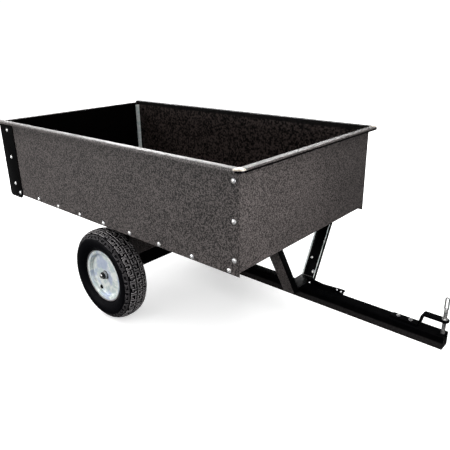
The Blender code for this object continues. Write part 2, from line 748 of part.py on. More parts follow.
def hitch_strap():
    """The bent strap over the drawbar's end that makes the hitch's clevis."""
    half = STRAP_SHEET / 2
    seat = BAR_TOP_Z + GAP + half
    top = STRAP_TOP_Z - half
    riser_foot, riser_top = STRAP_RISER_X
    tip = HITCH_PIN_X + STRAP_HALF_WIDTH
    profile = [(STRAP_REAR_X, seat), (riser_foot, seat), (riser_top, top), (tip, top)]
    strap = bake(folded_sheet("hitch_strap", profile, "y", -STRAP_HALF_WIDTH, STRAP_HALF_WIDTH,
                              STRAP_SHEET))
    rounding = arc((HITCH_PIN_X, 0), STRAP_HALF_WIDTH, -90, 90, 12)
    outline = [(STRAP_REAR_X - 0.01, STRAP_HALF_WIDTH), (STRAP_REAR_X - 0.01, -STRAP_HALF_WIDTH)]
    trim = plate("hitch_strap_trim", [outline + rounding], 0.2, Matrix.Translation((0, 0, STRAP_TOP_Z)))
    combine(strap, trim, "INTERSECT")
    drill(strap, HITCH_PIN_R + 2 * GAP, [(HITCH_PIN_X, 0, top)], "z", 0.03, 20)
    drill(strap, BOLT_R + GAP, [(x, 0, seat) for x in HITCH_BOLT_X], "z", 0.03)
    return finish(strap, BLACK)


def hitch_bolts():
    seat = BAR_TOP_Z + STRAP_SHEET + 2 * GAP
    under = BAR_TOP_Z - BAR_WALL - GAP
    profile = [(0, seat + 0.006), (0.0085, seat + 0.006), (0.0085, seat), (BOLT_R, seat),
               (BOLT_R, under), (NUT_R, under), (NUT_R, under - NUT_H), (0, under - NUT_H)]
    for name, x in zip(("rear", "front"), HITCH_BOLT_X):
        bolt = turned(f"hitch_bolt_{name}", profile, (x, 0, 0), "z", closed=False, segments=12)
        finish(bolt, ZINC)


def hitch_pin():
    """The draw pin, with a stop collar and a long loop to pull it by."""
    collar_foot = STRAP_TOP_Z + GAP
    collar_top = collar_foot + 0.004
    point = HITCH_PIN_R - 0.0025
    profile = [(0, PIN_LOOP_FOOT_Z + 0.002), (HITCH_PIN_R, PIN_LOOP_FOOT_Z), (HITCH_PIN_R, collar_top),
               (0.0095, collar_top), (0.0095, collar_foot), (HITCH_PIN_R, collar_foot),
               (HITCH_PIN_R, HITCH_PIN_FOOT_Z + 0.006), (point, HITCH_PIN_FOOT_Z),
               (0, HITCH_PIN_FOOT_Z)]
    pin = turned("hitch_pin", profile, (HITCH_PIN_X, 0, 0), "z", closed=False, segments=20)
    bend = PIN_LOOP_WIDTH / 2
    low = PIN_LOOP_FOOT_Z + 0.002
    high = PIN_LOOP_TOP_Z - PIN_LOOP_ROD_R - bend
    route = arc((0, high), bend, 0, 180, 6) + arc((0, low), bend, 180, 360, 6)
    curve = bpy.data.curves.new("hitch_pin_loop", "CURVE")
    curve.dimensions = "3D"
    curve.bevel_depth = PIN_LOOP_ROD_R
    curve.bevel_resolution = 2
    spline = curve.splines.new("POLY")
    spline.points.add(len(route) - 1)
    for place, (x, z) in zip(spline.points, route):
        place.co = (HITCH_PIN_X + x, 0, z, 1)
    spline.use_cyclic_u = True
    loop = bake(add_object("hitch_pin_loop", curve))
    combine(pin, loop, "UNION")
    return finish(pin, ZINC)


# --- joint empties ----------------------------------------------------------------------

def parent_to_axis(name, location, children):
    """An empty on a joint's axis, carrying the pieces that move about it."""
    axis = add_object(name, None)
    axis.location = location
    bpy.context.view_layer.update()
    for child in children:
        matrix = child.matrix_world.copy()
        child.parent = axis
        child.matrix_parent_inverse = axis.matrix_world.inverted()
        child.matrix_world = matrix
    return axis


def parent_moving_pieces():
    pieces = PARTS.objects
    moving_tub = ("floor_pan", "side_panel", "front_panel", "corner_bolt", "post_bolt", "rear_post",
                  "tailgate_guide", "axle_beam", "axle_shaft", "axle_washer", "axle_nut",
                  "hub_spacer", "bolster", "v_brace", "brace_")
    groups = {"tilt_axis": ((AXLE_X, 0, AXLE_Z), moving_tub),
              "tailgate_slide": ((TAILGATE_X, 0, FLOOR_TOP_Z), ("tailgate",)),
              "latch_axis": ((LATCH_PIVOT_X, LATCH_Y, LATCH_PIVOT_Z),
                             ("latch_pedal", "latch_spring", "foot_pad")),
              "pin_slide": ((HITCH_PIN_X, 0, STRAP_TOP_Z), ("hitch_pin",))}
    for side in SIDES:
        names = tuple(f"{piece}_{side}" for piece in
                      ("tyre", "rim_barrel", "wheel_disc", "hub_tube", "bushing_outer",
                       "bushing_inner"))
        groups[f"wheel_axis_{side}"] = (wheel_centre(side), names)
    for name, (location, prefixes) in groups.items():
        found = [piece for piece in pieces if piece.type != "EMPTY" and piece.parent is None
                 and piece.name.startswith(prefixes)]
        parent_to_axis(name, location, found)


# --- the cart -----------------------------------------------------------------------------

def build_cart():
    floor_pan()
    front_panel()
    tailgate()
    tub_bolts()
    axle_shaft()
    axle_beam()
    bolster()
    drawbar()
    tongue_bolts()
    brace_rail()
    brace_saddle()
    latch_pedal()
    latch_fittings()
    hitch_strap()
    hitch_bolts()
    hitch_pin()
    for side in SIDES:
        side_panel(side)
        rear_post(side)
        tailgate_guide(side)
        tyre(side)
        rim_barrel(side)
        wheel_disc(side)
        hub(side)
        axle_fittings(side)
        pivot_plate(side)
        v_brace(side)
    parent_moving_pieces()


build_cart()
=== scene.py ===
"""Looks for the tow behind cart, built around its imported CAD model.

Frame: metres, +X forward to the hitch, +Y to the cart's left, +Z up, the ground at z = 0.
"""

import json
import math
import random

import bmesh
import bpy
from mathutils import Matrix, Vector


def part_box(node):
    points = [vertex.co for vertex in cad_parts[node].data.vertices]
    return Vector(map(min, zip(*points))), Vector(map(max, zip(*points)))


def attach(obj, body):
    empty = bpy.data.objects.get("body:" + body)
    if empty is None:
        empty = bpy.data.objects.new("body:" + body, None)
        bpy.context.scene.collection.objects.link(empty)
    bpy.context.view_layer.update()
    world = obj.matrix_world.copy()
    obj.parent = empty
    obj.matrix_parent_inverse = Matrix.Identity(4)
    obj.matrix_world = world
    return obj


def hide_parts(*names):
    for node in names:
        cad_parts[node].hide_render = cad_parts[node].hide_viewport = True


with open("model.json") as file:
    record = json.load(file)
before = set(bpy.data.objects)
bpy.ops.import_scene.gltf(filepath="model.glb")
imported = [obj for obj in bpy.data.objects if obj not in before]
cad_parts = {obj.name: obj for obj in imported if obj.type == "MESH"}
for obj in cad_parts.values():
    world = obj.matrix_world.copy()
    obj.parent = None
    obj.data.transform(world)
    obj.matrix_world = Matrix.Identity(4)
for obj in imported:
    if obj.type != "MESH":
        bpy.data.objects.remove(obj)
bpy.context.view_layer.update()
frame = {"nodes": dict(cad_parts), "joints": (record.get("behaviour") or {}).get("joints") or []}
NODES = frame["nodes"]
JOINTS = {joint["name"]: joint for joint in frame["joints"]}
SIDES = {"left": 1, "right": -1}

# Sheet metal
SHEET = 0.002
BEND = 0.0045               # bend radius at the middle of a sheet
STRIP = 0.003               # thickness of posts, braces and axle parts
GAP = 0.0003

# Fasteners
HEAD_R = 0.009
HEAD_H = 0.0045
SHANK_R = 0.004
NUT_CORNER_R = 0.0075
NUT_H = 0.0062
FLOOR_BOLTS = 9             # along each side's bottom edge
FLOOR_BOLT_ENDS = (-0.926, 0.455)
FLOOR_BOLT_Z = 0.4500

# Tyre and wheel
TREAD_LUGS = 46             # around the tyre, in each row
TREAD_HEIGHT = 0.0065
LUG_PITCH = 0.0305          # between rows, along the section
LUG_WIDTH = 0.0245
LUG_CUTS = (0.0, 0.24, 0.5, 0.76, 1.0)      # where a lug's cells begin and end
LUG_SHAPES = (
    ("####", "#...", "#.##", "####"),
    ("####", "#..#", "#..#", "##.#"),
    ("####", "...#", "#..#", "####"),
    ("##.#", "#..#", "#.##", "#..."),
)
SECTION_POWER = 2 / 2.3     # the tyre section is a superellipse
TURN_SEGMENTS = 96
DISC_DEPTH = 0.0080         # from the disc's outermost edge in to its face
VALVE_AT = (-0.0425, -0.0736)               # x and z from the wheel's centre
GREASE_HOLE_AT = (0.0215, 0.0225)

# Drawbar
BAR_CORNER_R = 0.006
BAR_WALL = 0.003
STRAP = 0.006               # thickness of the hitch strap


# --- mesh building ---

def point_on(axis):
    """Puts a profile point (a, b) and a run along axis into the frame."""
    return {
        "x": lambda a, b, run: Vector((run, a, b)),
        "y": lambda a, b, run: Vector((a, run, b)),
        "z": lambda a, b, run: Vector((a, b, run)),
    }[axis]


def near_y(name):
    """How far a node's nearer side is from the cart's middle plane."""
    return min(abs(corner.y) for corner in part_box(name))


def far_y(name):
    """How far a node's outer side is from the cart's middle plane."""
    return max(abs(corner.y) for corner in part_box(name))


def mid(name):
    """The middle of a node's box."""
    low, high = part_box(name)
    return [(a + b) / 2 for a, b in zip(low, high)]


def wheel_centre(side):
    """Where a wheel's axis meets the wheel's middle plane."""
    return Vector(JOINTS[f"wheel_{side}_spin"]["pos_m"])


def spin_matrix(centre, axis, sign=1):
    """Takes +Z to the axis, with its sign, at centre."""
    about_x = {("y", 1): -90, ("y", -1): 90, ("z", 1): 0, ("z", -1): 180}[axis, sign]
    return Matrix.Translation(centre) @ Matrix.Rotation(math.radians(about_x), 4, "X")


def skin(work, rings, closed, loop=True, slot=0):
    """Joins rings of vertices with faces. A ring of one vertex closes to a point."""
    pairs = list(zip(rings, rings[1:]))
    if closed:
        pairs.append((rings[-1], rings[0]))
    for first, second in pairs:
        count = max(len(first), len(second))
        for index in range(count if loop else count - 1):
            after = (index + 1) % count
            corners = [first[index % len(first)], first[after % len(first)],
                       second[after % len(second)], second[index % len(second)]]
            corners = list(dict.fromkeys(corners))
            if len(corners) > 2:
                work.faces.new(corners).material_index = slot


def turn(work, profile, place, closed=False, segments=TURN_SEGMENTS):
    """A turned solid from a profile of (radius, height) points."""
    angles = [2 * math.pi * index / segments for index in range(segments)]
    rings = []
    for radius, height in profile:
        spots = [(radius * math.cos(a), radius * math.sin(a)) for a in angles] if radius else [(0, 0)]
        rings.append([work.verts.new(place @ Vector((*spot, height))) for spot in spots])
    skin(work, rings, closed)


def prism(work, outline, low, high, place):
    """A flat outline given thickness: place takes (a, b, height) to the frame."""
    rings = [[work.verts.new(place(a, b, height)) for a, b in outline] for height in (low, high)]
    skin(work, rings, closed=False)
    for ring in rings:
        work.faces.new(ring)


def fillet(points, radius, steps=5):
    """A polyline with its inner corners rounded."""
    rounded = [tuple(points[0])]
    for before, corner, after in zip(points, points[1:], points[2:]):
        corner = Vector(corner)
        back = (Vector(before) - corner).normalized()
        ahead = (Vector(after) - corner).normalized()
        turning = math.pi - back.angle(ahead)
        if turning < 0.02:
            rounded.append(tuple(corner))
            continue
        cut = radius * math.tan(turning / 2)
        middle = corner + (back + ahead).normalized() * radius / math.cos(turning / 2)
        spoke = corner + back * cut - middle
        side = 1 if back.cross(ahead) < 0 else -1
        for step in range(steps + 1):
            angle = side * turning * step / steps
            rounded.append((middle.x + spoke.x * math.cos(angle) - spoke.y * math.sin(angle),
                            middle.y + spoke.x * math.sin(angle) + spoke.y * math.cos(angle)))
    rounded.append(tuple(points[-1]))
    return rounded


def banks(points, thickness):
    """The two edges of a strip drawn along a polyline."""
    left, right = [], []
    for index, point in enumerate(points):
        point = Vector(point)
        before = Vector(points[max(index - 1, 0)])
        after = Vector(points[min(index + 1, len(points) - 1)])
        run = (after - before).normalized()
        normal = Vector((-run.y, run.x)) * thickness / 2
        left.append(tuple(point + normal))
        right.append(tuple(point - normal))
    return left, right


def thick_outline(points, thickness, radius, steps=5):
    """The closed outline of a bent strip."""
    left, right = banks(fillet(points, radius, steps), thickness)
    return left + right[::-1]


def bent_sheet(work, points, thickness, ends, radius=BEND, slots=(0, 0)):
    """A sheet bent along points. ends gives where a profile point lies at the start and the end.

    The two slots are the materials of the left and right faces, looking along the points.
    """
    left, right = banks(fillet(points, radius), thickness)
    rows = []
    for end in (0, 1):
        rows.append(([work.verts.new(ends(*point, end)) for point in left],
                     [work.verts.new(ends(*point, end)) for point in right]))
    for bank in (0, 1):
        skin(work, [rows[0][bank], rows[1][bank]], closed=False, loop=False, slot=slots[bank])
    for end in (0, 1):
        skin(work, [rows[end][0], rows[end][1]], closed=False, loop=False, slot=slots[0])
    for tip in (0, -1):
        corners = (rows[0][0][tip], rows[1][0][tip], rows[1][1][tip], rows[0][1][tip])
        work.faces.new(corners).material_index = slots[0]


def run_ends(axis, start, end):
    """The ends of a straight run along a world axis, for bent_sheet."""
    place = point_on(axis)
    return lambda a, b, which: place(a, b, (start, end)[which])


def tube(work, points, radius, cyclic=False, sides=8):
    """A round rod along points. radius is a number, or gives it for a share of the way."""
    points = [Vector(point) for point in points]
    count = len(points)
    rings = []
    normal = None
    for index, point in enumerate(points):
        before = points[(index - 1) % count] if cyclic else points[max(index - 1, 0)]
        after = points[(index + 1) % count] if cyclic else points[min(index + 1, count - 1)]
        run = (after - before).normalized()
        if normal is None:
            normal = run.orthogonal().normalized()
        normal = (normal - run * normal.dot(run)).normalized()
        across = run.cross(normal)
        width = radius(index / count) if callable(radius) else radius
        angles = [2 * math.pi * side / sides for side in range(sides)]
        rings.append([work.verts.new(point + (normal * math.cos(a) + across * math.sin(a)) * width)
                      for a in angles])
    skin(work, rings, closed=cyclic)
    if not cyclic:
        for ring in (rings[0], rings[-1]):
            work.faces.new(ring)


def arc(centre, radius, start, end, steps):
    """Points on a circle, from start to end in degrees."""
    angles = [math.radians(start + (end - start) * step / steps) for step in range(steps + 1)]
    return [(centre[0] + radius * math.cos(a), centre[1] + radius * math.sin(a)) for a in angles]


def rounded_box(half_a, half_b, radius, steps=5):
    """The outline of a rectangle with round corners, about its middle."""
    outline = []
    for quarter, (sign_a, sign_b) in enumerate(((1, 1), (-1, 1), (-1, -1), (1, -1))):
        centre = (sign_a * (half_a - radius), sign_b * (half_b - radius))
        outline += arc(centre, radius, 90 * quarter, 90 * quarter + 90, steps)
    return outline


def finished_mesh(name, work):
    """The built mesh, with its faces turned outwards."""
    bmesh.ops.recalc_face_normals(work, faces=work.faces)
    mesh = bpy.data.meshes.new(name)
    work.to_mesh(mesh)
    work.free()
    return mesh


def new_object(name, data):
    """Puts an object with this data into the scene."""
    obj = bpy.data.objects.new(name, data)
    bpy.context.scene.collection.objects.link(obj)
    return obj


def piece(name, work, materials, body, nodes=(), bevel=0.0, sharp=35, steps=2, edges=-1):
    """Makes the built mesh a piece that rides on body and stands for the CAD nodes."""
    mesh = finished_mesh(name, work)
    mesh.shade_smooth()
    mesh.set_sharp_from_angle(angle=math.radians(sharp))
    obj = new_object(name, mesh)
    for surface in materials if isinstance(materials, list) else [materials]:
        mesh.materials.append(surface)
    if bevel:
        soften(obj, bevel, steps, sharp, edges)
    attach(obj, body)
    if nodes:
        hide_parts(*nodes)
    return obj


def soften(obj, width, steps=2, angle=35, slot=-1):
    """Rounds an object's sharp edges a little. slot is the material of the rounded edges, -1 for none."""
    bevel = obj.modifiers.new("soft_edges", "BEVEL")
    bevel.width = width
    bevel.segments = steps
    bevel.limit_method = "ANGLE"
    bevel.angle_limit = math.radians(angle)
    bevel.harden_normals = False
    bevel.material = slot


def cut(obj, work, operation="DIFFERENCE"):
    """Applies a Boolean with the built mesh to obj."""
    mesh = finished_mesh("cutter", work)
    cutter = new_object("cutter", mesh)
    modifier = obj.modifiers.new("cut", "BOOLEAN")
    modifier.operation = operation
    modifier.solver = "EXACT"
    modifier.object = cutter
    while obj.modifiers.find("cut") > 0:
        obj.modifiers.move(obj.modifiers.find("cut"), 0)
    with bpy.context.temp_override(object=obj, active_object=obj):
        bpy.ops.object.modifier_apply(modifier="cut")
    bpy.data.objects.remove(cutter)
    bpy.data.meshes.remove(mesh)


# --- materials ---

class Surface:
    """A Principled material, and short ways to add nodes to it."""

    def __init__(self, name, roughness, metallic=0.0, **fixed):
        self.material = bpy.data.materials.new(name)
        self.material.use_nodes = True
        self.tree = self.material.node_tree
        self.shader = self.tree.nodes["Principled BSDF"]
        self.put("Roughness", roughness)
        self.put("Metallic", metallic)
        for socket, value in fixed.items():
            self.put(socket.replace("_", " "), value)
        self.place = self.add("ShaderNodeTexCoord").outputs["Object"]

    def put(self, socket, value):
        """Sets a shader input to a number, a colour or another node's output."""
        target = self.shader.inputs[socket]
        if isinstance(value, bpy.types.NodeSocket):
            self.tree.links.new(value, target)
        elif isinstance(value, tuple):
            target.default_value = (*value, 1)
        else:
            target.default_value = value

    def add(self, kind, inputs=(), **settings):
        node = self.tree.nodes.new(kind)
        for setting, value in settings.items():
            setattr(node, setting, value)
        for socket, value in inputs:
            if isinstance(value, bpy.types.NodeSocket):
                self.tree.links.new(value, node.inputs[socket])
            else:
                node.inputs[socket].default_value = value
        return node

    def noise(self, scale, detail=3.0, stretch=None):
        place = self.place
        if stretch:
            place = self.add("ShaderNodeMapping", [("Vector", place), ("Scale", stretch)]).outputs[0]
        node = self.add("ShaderNodeTexNoise",
                        [("Vector", place), ("Scale", scale), ("Detail", detail)])
        return node.outputs["Fac"]

    def cells(self, scale, output="Distance", feature="F1"):
        node = self.add("ShaderNodeTexVoronoi", [("Vector", self.place), ("Scale", scale)],
                        feature=feature)
        return node.outputs[output]

    def remap(self, value, low, high, to_low, to_high):
        node = self.add("ShaderNodeMapRange", [("Value", value), ("From Min", low), ("From Max", high),
                                               ("To Min", to_low), ("To Max", to_high)])
        return node.outputs["Result"]

    def patches(self, scale, detail, low, high, strength=1):
        """Noise that is 0 up to low, and rises to strength at high."""
        return self.remap(self.noise(scale, detail), low, high, 0, strength)

    def step(self, level, under, over):
        """One value under a height and another over it."""
        height = self.add("ShaderNodeSeparateXYZ", [(0, self.place)]).outputs["Z"]
        return self.remap(height, level - 0.003, level + 0.003, under, over)

    def roughen(self, scale, detail, least, most):
        """Makes the roughness vary between two values."""
        self.put("Roughness", self.remap(self.noise(scale, detail), 0.3, 0.7, least, most))

    def math(self, operation, first, second):
        return self.add("ShaderNodeMath", [(0, first), (1, second)], operation=operation).outputs[0]

    def mix(self, factor, first, second):
        """Blends two colours."""
        first, second = [(*value, 1) if isinstance(value, tuple) else value for value in (first, second)]
        return self.add("ShaderNodeMix", [(0, factor), (6, first), (7, second)],
                        data_type="RGBA").outputs[2]

    def bump(self, height, distance, strength):
        inputs = [("Height", height), ("Distance", distance), ("Strength", strength)]
        self.put("Normal", self.add("ShaderNodeBump", inputs).outputs[0])


def hammertone(name, shade, sheen=0.35, contrast=0.82, grain=215, painted_rim_shadow_above=None):
    """Dark hammered enamel: small dimples, and a fine speckle of light and dark.

    Above a given height the paint is nearly black: a painted shadow under a rim.
    """
    surface = Surface(name, 0.42, 0.0, Specular_IOR_Level=sheen)
    dark = tuple(channel * (1 - contrast) for channel in shade)
    light = tuple(channel * (1 + contrast * 1.5) for channel in shade)
    speckle = surface.patches(grain, 2.0, 0.40, 0.62)
    clouds = surface.remap(surface.noise(7, 3.0), 0.3, 0.7, 0.07, -0.07)
    paint = surface.mix(surface.math("ADD", speckle, clouds), dark, light)
    # nearly black above the height: painted shadow under the rim
    if painted_rim_shadow_above:
        paint = surface.mix(surface.step(painted_rim_shadow_above, 0, 0.9), paint, (0.0008, 0.0008, 0.0008))
    surface.put("Base Color", paint)
    surface.roughen(60, 2.0, 0.38, 0.50)
    surface.bump(surface.cells(240, feature="SMOOTH_F1"), 0.0010, 0.5)
    return surface.material


def gloss_black(name, sheen=0.05, painted_reflection_below=None):
    """Black enamel with faint orange peel. Below a given height it turns a grainy grey: a painted
    reflection of the floor.
    """
    surface = Surface(name, 0.25, 0.0, Specular_IOR_Level=sheen)
    film = surface.patches(35, 4.0, 0.45, 0.8)
    enamel = surface.mix(film, (0.0008, 0.0008, 0.0010), (0.0018, 0.0018, 0.0020))
    # grainy grey low down: painted reflection of the floor
    if painted_reflection_below:
        grain = surface.remap(surface.noise(160, 3.0), 0.35, 0.65, 0.45, 1)
        reflection_mask = surface.math("MULTIPLY", surface.step(painted_reflection_below, 1, 0), grain)
        enamel = surface.mix(reflection_mask, enamel, (0.020, 0.0185, 0.0185))
    surface.put("Base Color", enamel)
    surface.roughen(14, 3.0, 0.20, 0.37)
    surface.bump(surface.noise(420, 2.0), 0.0006, 0.15)
    return surface.material


def coat(name, tones, film, roughness, relief, metallic=0.0, sheen=0.5):
    """A surface blended between two tones.

    film is a noise's scale and detail, and the limits of the blend; roughness is a noise's scale and
    detail, and the least and most roughness; relief is a noise's scale and detail, and the bump's
    distance and strength.
    """
    surface = Surface(name, 0.5, metallic, Specular_IOR_Level=sheen)
    surface.put("Base Color", surface.mix(surface.patches(*film), *tones))
    surface.roughen(*roughness)
    scale, detail, distance, strength = relief
    surface.bump(surface.noise(scale, detail), distance, strength)
    return surface.material


def zinc_plate(name, dull, bright, metallic=0.6):
    """Zinc plate with a bloom between its two colours."""
    return coat(name, (dull, bright), (120, 2.0, 0.35, 0.65), (300, 3.0, 0.18, 0.36),
                (900, 2.0, 0.0003, 0.15), metallic)


def galvanised(name, patchy):
    """Zinc coated pressed steel: pale spangle, with blue-grey patches where patchy isn't 0."""
    surface = Surface(name, 0.5, 0.12)
    grey = surface.add("ShaderNodeRGBToBW", [(0, surface.cells(95, "Color"))]).outputs[0]
    base = surface.mix(surface.remap(grey, 0.2, 0.8, 0, 1), (0.70, 0.75, 0.74), (0.92, 0.95, 0.91))
    if patchy:
        base = surface.mix(surface.patches(42, 3.0, 0.50, 0.58, 0.7), base, (0.54, 0.65, 0.65))
        base = surface.mix(surface.patches(16, 4.0, 0.50, 0.60, patchy), base, (0.44, 0.51, 0.68))
    surface.put("Base Color", base)
    surface.roughen(45, 4.0, 0.34, 0.52)
    surface.bump(surface.noise(240, 3.0), 0.0005, 0.2)
    return surface.material


def rubber(name, base, dusty, roughness, sheen):
    """Tyre rubber with fine grain and a film of dust."""
    return coat(name, (base, dusty), (38, 5.0, 0.35, 0.75),
                (80, 3.0, roughness - 0.1, roughness + 0.08), (650, 3.0, 0.0006, 0.3), sheen=sheen)


def turned_steel():
    """Plain turned steel with fine tool marks round the axle."""
    surface = Surface("turned_steel", 0.32, 1.0)
    marks = surface.noise(60, 2.0, stretch=(1, 30, 1))
    surface.put("Base Color", surface.mix(marks, (0.38, 0.38, 0.39), (0.62, 0.61, 0.60)))
    surface.bump(marks, 0.0004, 0.2)
    return surface.material


def bronze():
    """Sintered bronze with fine pores and darker oil stains."""
    surface = Surface("sintered_bronze", 0.4, 1.0)
    stains = surface.patches(90, 3.0, 0.4, 0.7)
    surface.put("Base Color", surface.mix(stains, (0.16, 0.13, 0.09), (0.05, 0.042, 0.034)))
    surface.bump(surface.cells(1800), 0.0002, 0.3)
    return surface.material


def dark_steel():
    """Oil blackened steel, worn bright in places."""
    return coat("dark_steel", ((0.03, 0.03, 0.032), (0.25, 0.25, 0.26)), (140, 3.0, 0.5, 0.75),
                (220, 3.0, 0.18, 0.34), (700, 2.0, 0.0003, 0.15), 0.85)


def weld_metal(name, burnt, bright):
    """A cooled weld: rippled, and uneven between its two colours."""
    surface = Surface(name, 0.38, 0.35)
    surface.put("Base Color", surface.mix(surface.patches(150, 3.0, 0.35, 0.65), burnt, bright))
    surface.bump(surface.noise(500, 2.0), 0.001, 0.4)
    return surface.material


HAMMERTONE = hammertone("hammertone_enamel", (0.0638, 0.0555, 0.0536))
# a darker copy of the enamel for the tub's inside: painted shade, with a painted shadow under the rims
SHADED_INSIDE_PAINT = hammertone("hammertone_inside_painted_shade", (0.0155, 0.0118, 0.0109), 0.05, 0.97, 110, 0.786)
# a nearly black copy of the enamel for the tailgate's inside: painted shade
SHADED_GATE_PAINT = hammertone("hammertone_gate_painted_shade", (0.0012, 0.0010, 0.0010), 0.02, 0.9)
BLACK = gloss_black("black_enamel")
# grey low on the bar's sides: painted reflection of the floor
BAR_BLACK = gloss_black("drawbar_enamel", sheen=0.004, painted_reflection_below=0.2105)
ZINC = zinc_plate("bright_zinc", (0.80, 0.82, 0.86), (0.92, 0.90, 0.86))
PIN_ZINC = zinc_plate("pin_zinc", (0.13, 0.13, 0.14), (0.50, 0.49, 0.48), 0.8)
GALVANISED = galvanised("galvanised_steel", 0.8)
# pale zinc: the tailgate guides, and a painted highlight on the braces' edges
ZINC_AND_HIGHLIGHT = galvanised("guide_zinc_and_highlight", 0.1)
SIDEWALL = rubber("sidewall_rubber", (0.0010, 0.0010, 0.0018), (0.0025, 0.0024, 0.0034), 0.55, 0.04)
TREAD = rubber("tread_rubber", (0.028, 0.026, 0.028), (0.062, 0.057, 0.060), 0.70, 0.3)
# light rubber on the lugs' rounded edges: painted highlight
LUG_EDGE_HIGHLIGHT = rubber("lug_edges_painted_highlight", (0.24, 0.229, 0.235), (0.52, 0.49, 0.49), 0.60, 0.5)
SHOULDER = rubber("shoulder_rubber", (0.0150, 0.0140, 0.0155), (0.035, 0.0325, 0.035), 0.65, 0.2)
# light rubber on the shoulder blocks' rounded edges: painted highlight
SHOULDER_EDGE_HIGHLIGHT = rubber("shoulder_edges_painted_highlight", (0.065, 0.061, 0.064), (0.15, 0.14, 0.145), 0.60, 0.3)
VALVE_RUBBER = rubber("valve_rubber", (0.0010, 0.0010, 0.0010), (0.0025, 0.0025, 0.0025), 0.7, 0.03)
STEEL = turned_steel()
DARK_STEEL = dark_steel()
BRONZE = bronze()
WELD = weld_metal("weld_bead", (0.008, 0.008, 0.009), (0.04, 0.037, 0.034))
CORNER_WELD = weld_metal("ground_weld", (0.30, 0.24, 0.19), (0.85, 0.78, 0.68))


# --- fasteners ---

def dome_head(work, place, radius=HEAD_R, height=HEAD_H):
    """A carriage bolt's head, with the small dimple of its forging."""
    rise = [(radius * math.cos(a), height * (0.12 + 0.88 * math.sin(a)))
            for a in (math.radians(step) for step in range(0, 76, 11))]
    profile = [(0, 0), (radius * 0.97, 0), *rise, (0.0016, height * 0.985), (0.0011, height * 0.90),
               (0, height * 0.88)]
    turn(work, profile, place, segments=28)


def hex_head(work, place, corner_r, height, bore=0.0):
    """A hexagon with its upper corners taken off, and a round face on top."""
    def hexagon(radius, z):
        return [work.verts.new(place @ Vector((*spot, z))) for spot in arc((0, 0), radius, 0, 300, 5)]

    rings = [hexagon(corner_r, 0), hexagon(corner_r, height * 0.86), hexagon(corner_r * 0.90, height)]
    if bore:
        rings += [hexagon(bore, height), hexagon(bore, height - 0.001)]
    skin(work, rings, closed=False)
    for ring in (rings[0], rings[-1]):
        work.faces.new(ring)


def washer(work, place, inner, outer, thickness):
    """A flat washer with its outer edge broken."""
    edge = 0.0003
    profile = [(inner, 0), (outer, 0), (outer, thickness - edge), (outer - edge, thickness),
               (inner, thickness)]
    turn(work, profile, place, closed=True, segments=36)


def threaded_end(work, place, radius, length, pitch=0.00125):
    """The end of a screw: a stack of thread ridges with a chamfered tip."""
    profile = [(0, 0)]
    height = 0.0
    while height < length - pitch:
        profile += [(radius * 0.90, height), (radius, height + pitch / 2)]
        height += pitch
    profile += [(radius * 0.90, height), (radius * 0.72, length), (0, length)]
    turn(work, profile, place, segments=20)


def carriage_bolt(work, side, x, z, face_y, inner_y):
    """Head on the outside, nut, washer and thread inside. The distances are from the middle."""
    sign = SIDES[side]
    dome_head(work, spin_matrix((x, sign * (face_y + GAP), z), "y", sign))
    inward = spin_matrix((x, sign * (inner_y - GAP), z), "y", -sign)
    washer(work, inward, SHANK_R, 0.0072, 0.0010)
    seat = inward @ Matrix.Translation((0, 0, 0.0010))
    hex_head(work, seat, NUT_CORNER_R * 0.93, NUT_H - 0.0022, SHANK_R)
    threaded_end(work, seat, SHANK_R * 0.95, NUT_H - 0.0009)


def paint_inside(work, face_y):
    """Gives the nuts and washers inside the tub's walls the second material, black: painted shade, as on
    the tub's inside.
    """
    for face in work.faces:
        face.material_index = int(abs(face.calc_center_median().y) < face_y)


def tub_bolts():
    """The bolts of the corners, the rear posts and the floor's edges, one piece for each group."""
    for side in SIDES:
        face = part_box("floor_pan")[1].y + GAP + SHEET       # a side panel's outer face
        for group, post in (("corner", 0.0), ("post", GAP + STRIP)):
            work = bmesh.new()
            names = [f"{group}_bolt_{side}_{row}" for row in (1, 2, 3)]
            inner = face - SHEET - (GAP + SHEET if group == "corner" else 0)
            for name in names:
                x, _, z = mid(name)
                carriage_bolt(work, side, x, z, face + post, inner)
            paint_inside(work, face)
            piece(f"{group}_bolts_{side}", work, [ZINC, BLACK], "tub", names)
        work = bmesh.new()
        first, last = FLOOR_BOLT_ENDS
        for index in range(FLOOR_BOLTS):
            x = first + (last - first) * index / (FLOOR_BOLTS - 1)
            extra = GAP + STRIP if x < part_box(f"rear_post_{side}")[1].x else 0.0
            carriage_bolt(work, side, x, FLOOR_BOLT_Z, face + extra, face - 2 * (SHEET + GAP))
        paint_inside(work, face)
        piece(f"floor_bolts_{side}", work, [ZINC, BLACK], "tub")


# --- tub ---

def side_panel(side):
    """Side wall with its rim turned out and down."""
    sign = SIDES[side]
    low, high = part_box(f"side_panel_{side}")
    wall = sign * (near_y(f"side_panel_{side}") + SHEET / 2)
    lip = sign * (far_y(f"side_panel_{side}") - SHEET / 2)
    top = high.z - SHEET / 2
    points = [(wall, low.z), (wall, top), (lip, top), (lip, top - 0.010)]
    work = bmesh.new()
    # the wall's inner face takes the inside's paint: painted shade
    faces = (0, 1) if sign < 0 else (1, 0)
    bent_sheet(work, points, SHEET, run_ends("x", low.x, high.x), slots=faces)
    # the rim has the outside's paint; on the left its top keeps the inside's paint, a painted shade
    painted = abs(wall) + SHEET if sign < 0 else abs(lip) - BEND
    for face in work.faces:
        if abs(face.calc_center_median().y) > painted:
            face.material_index = 0
    piece(f"side_wall_{side}", work, [HAMMERTONE, SHADED_INSIDE_PAINT], "tub", [f"side_panel_{side}"],
          bevel=0.0004)


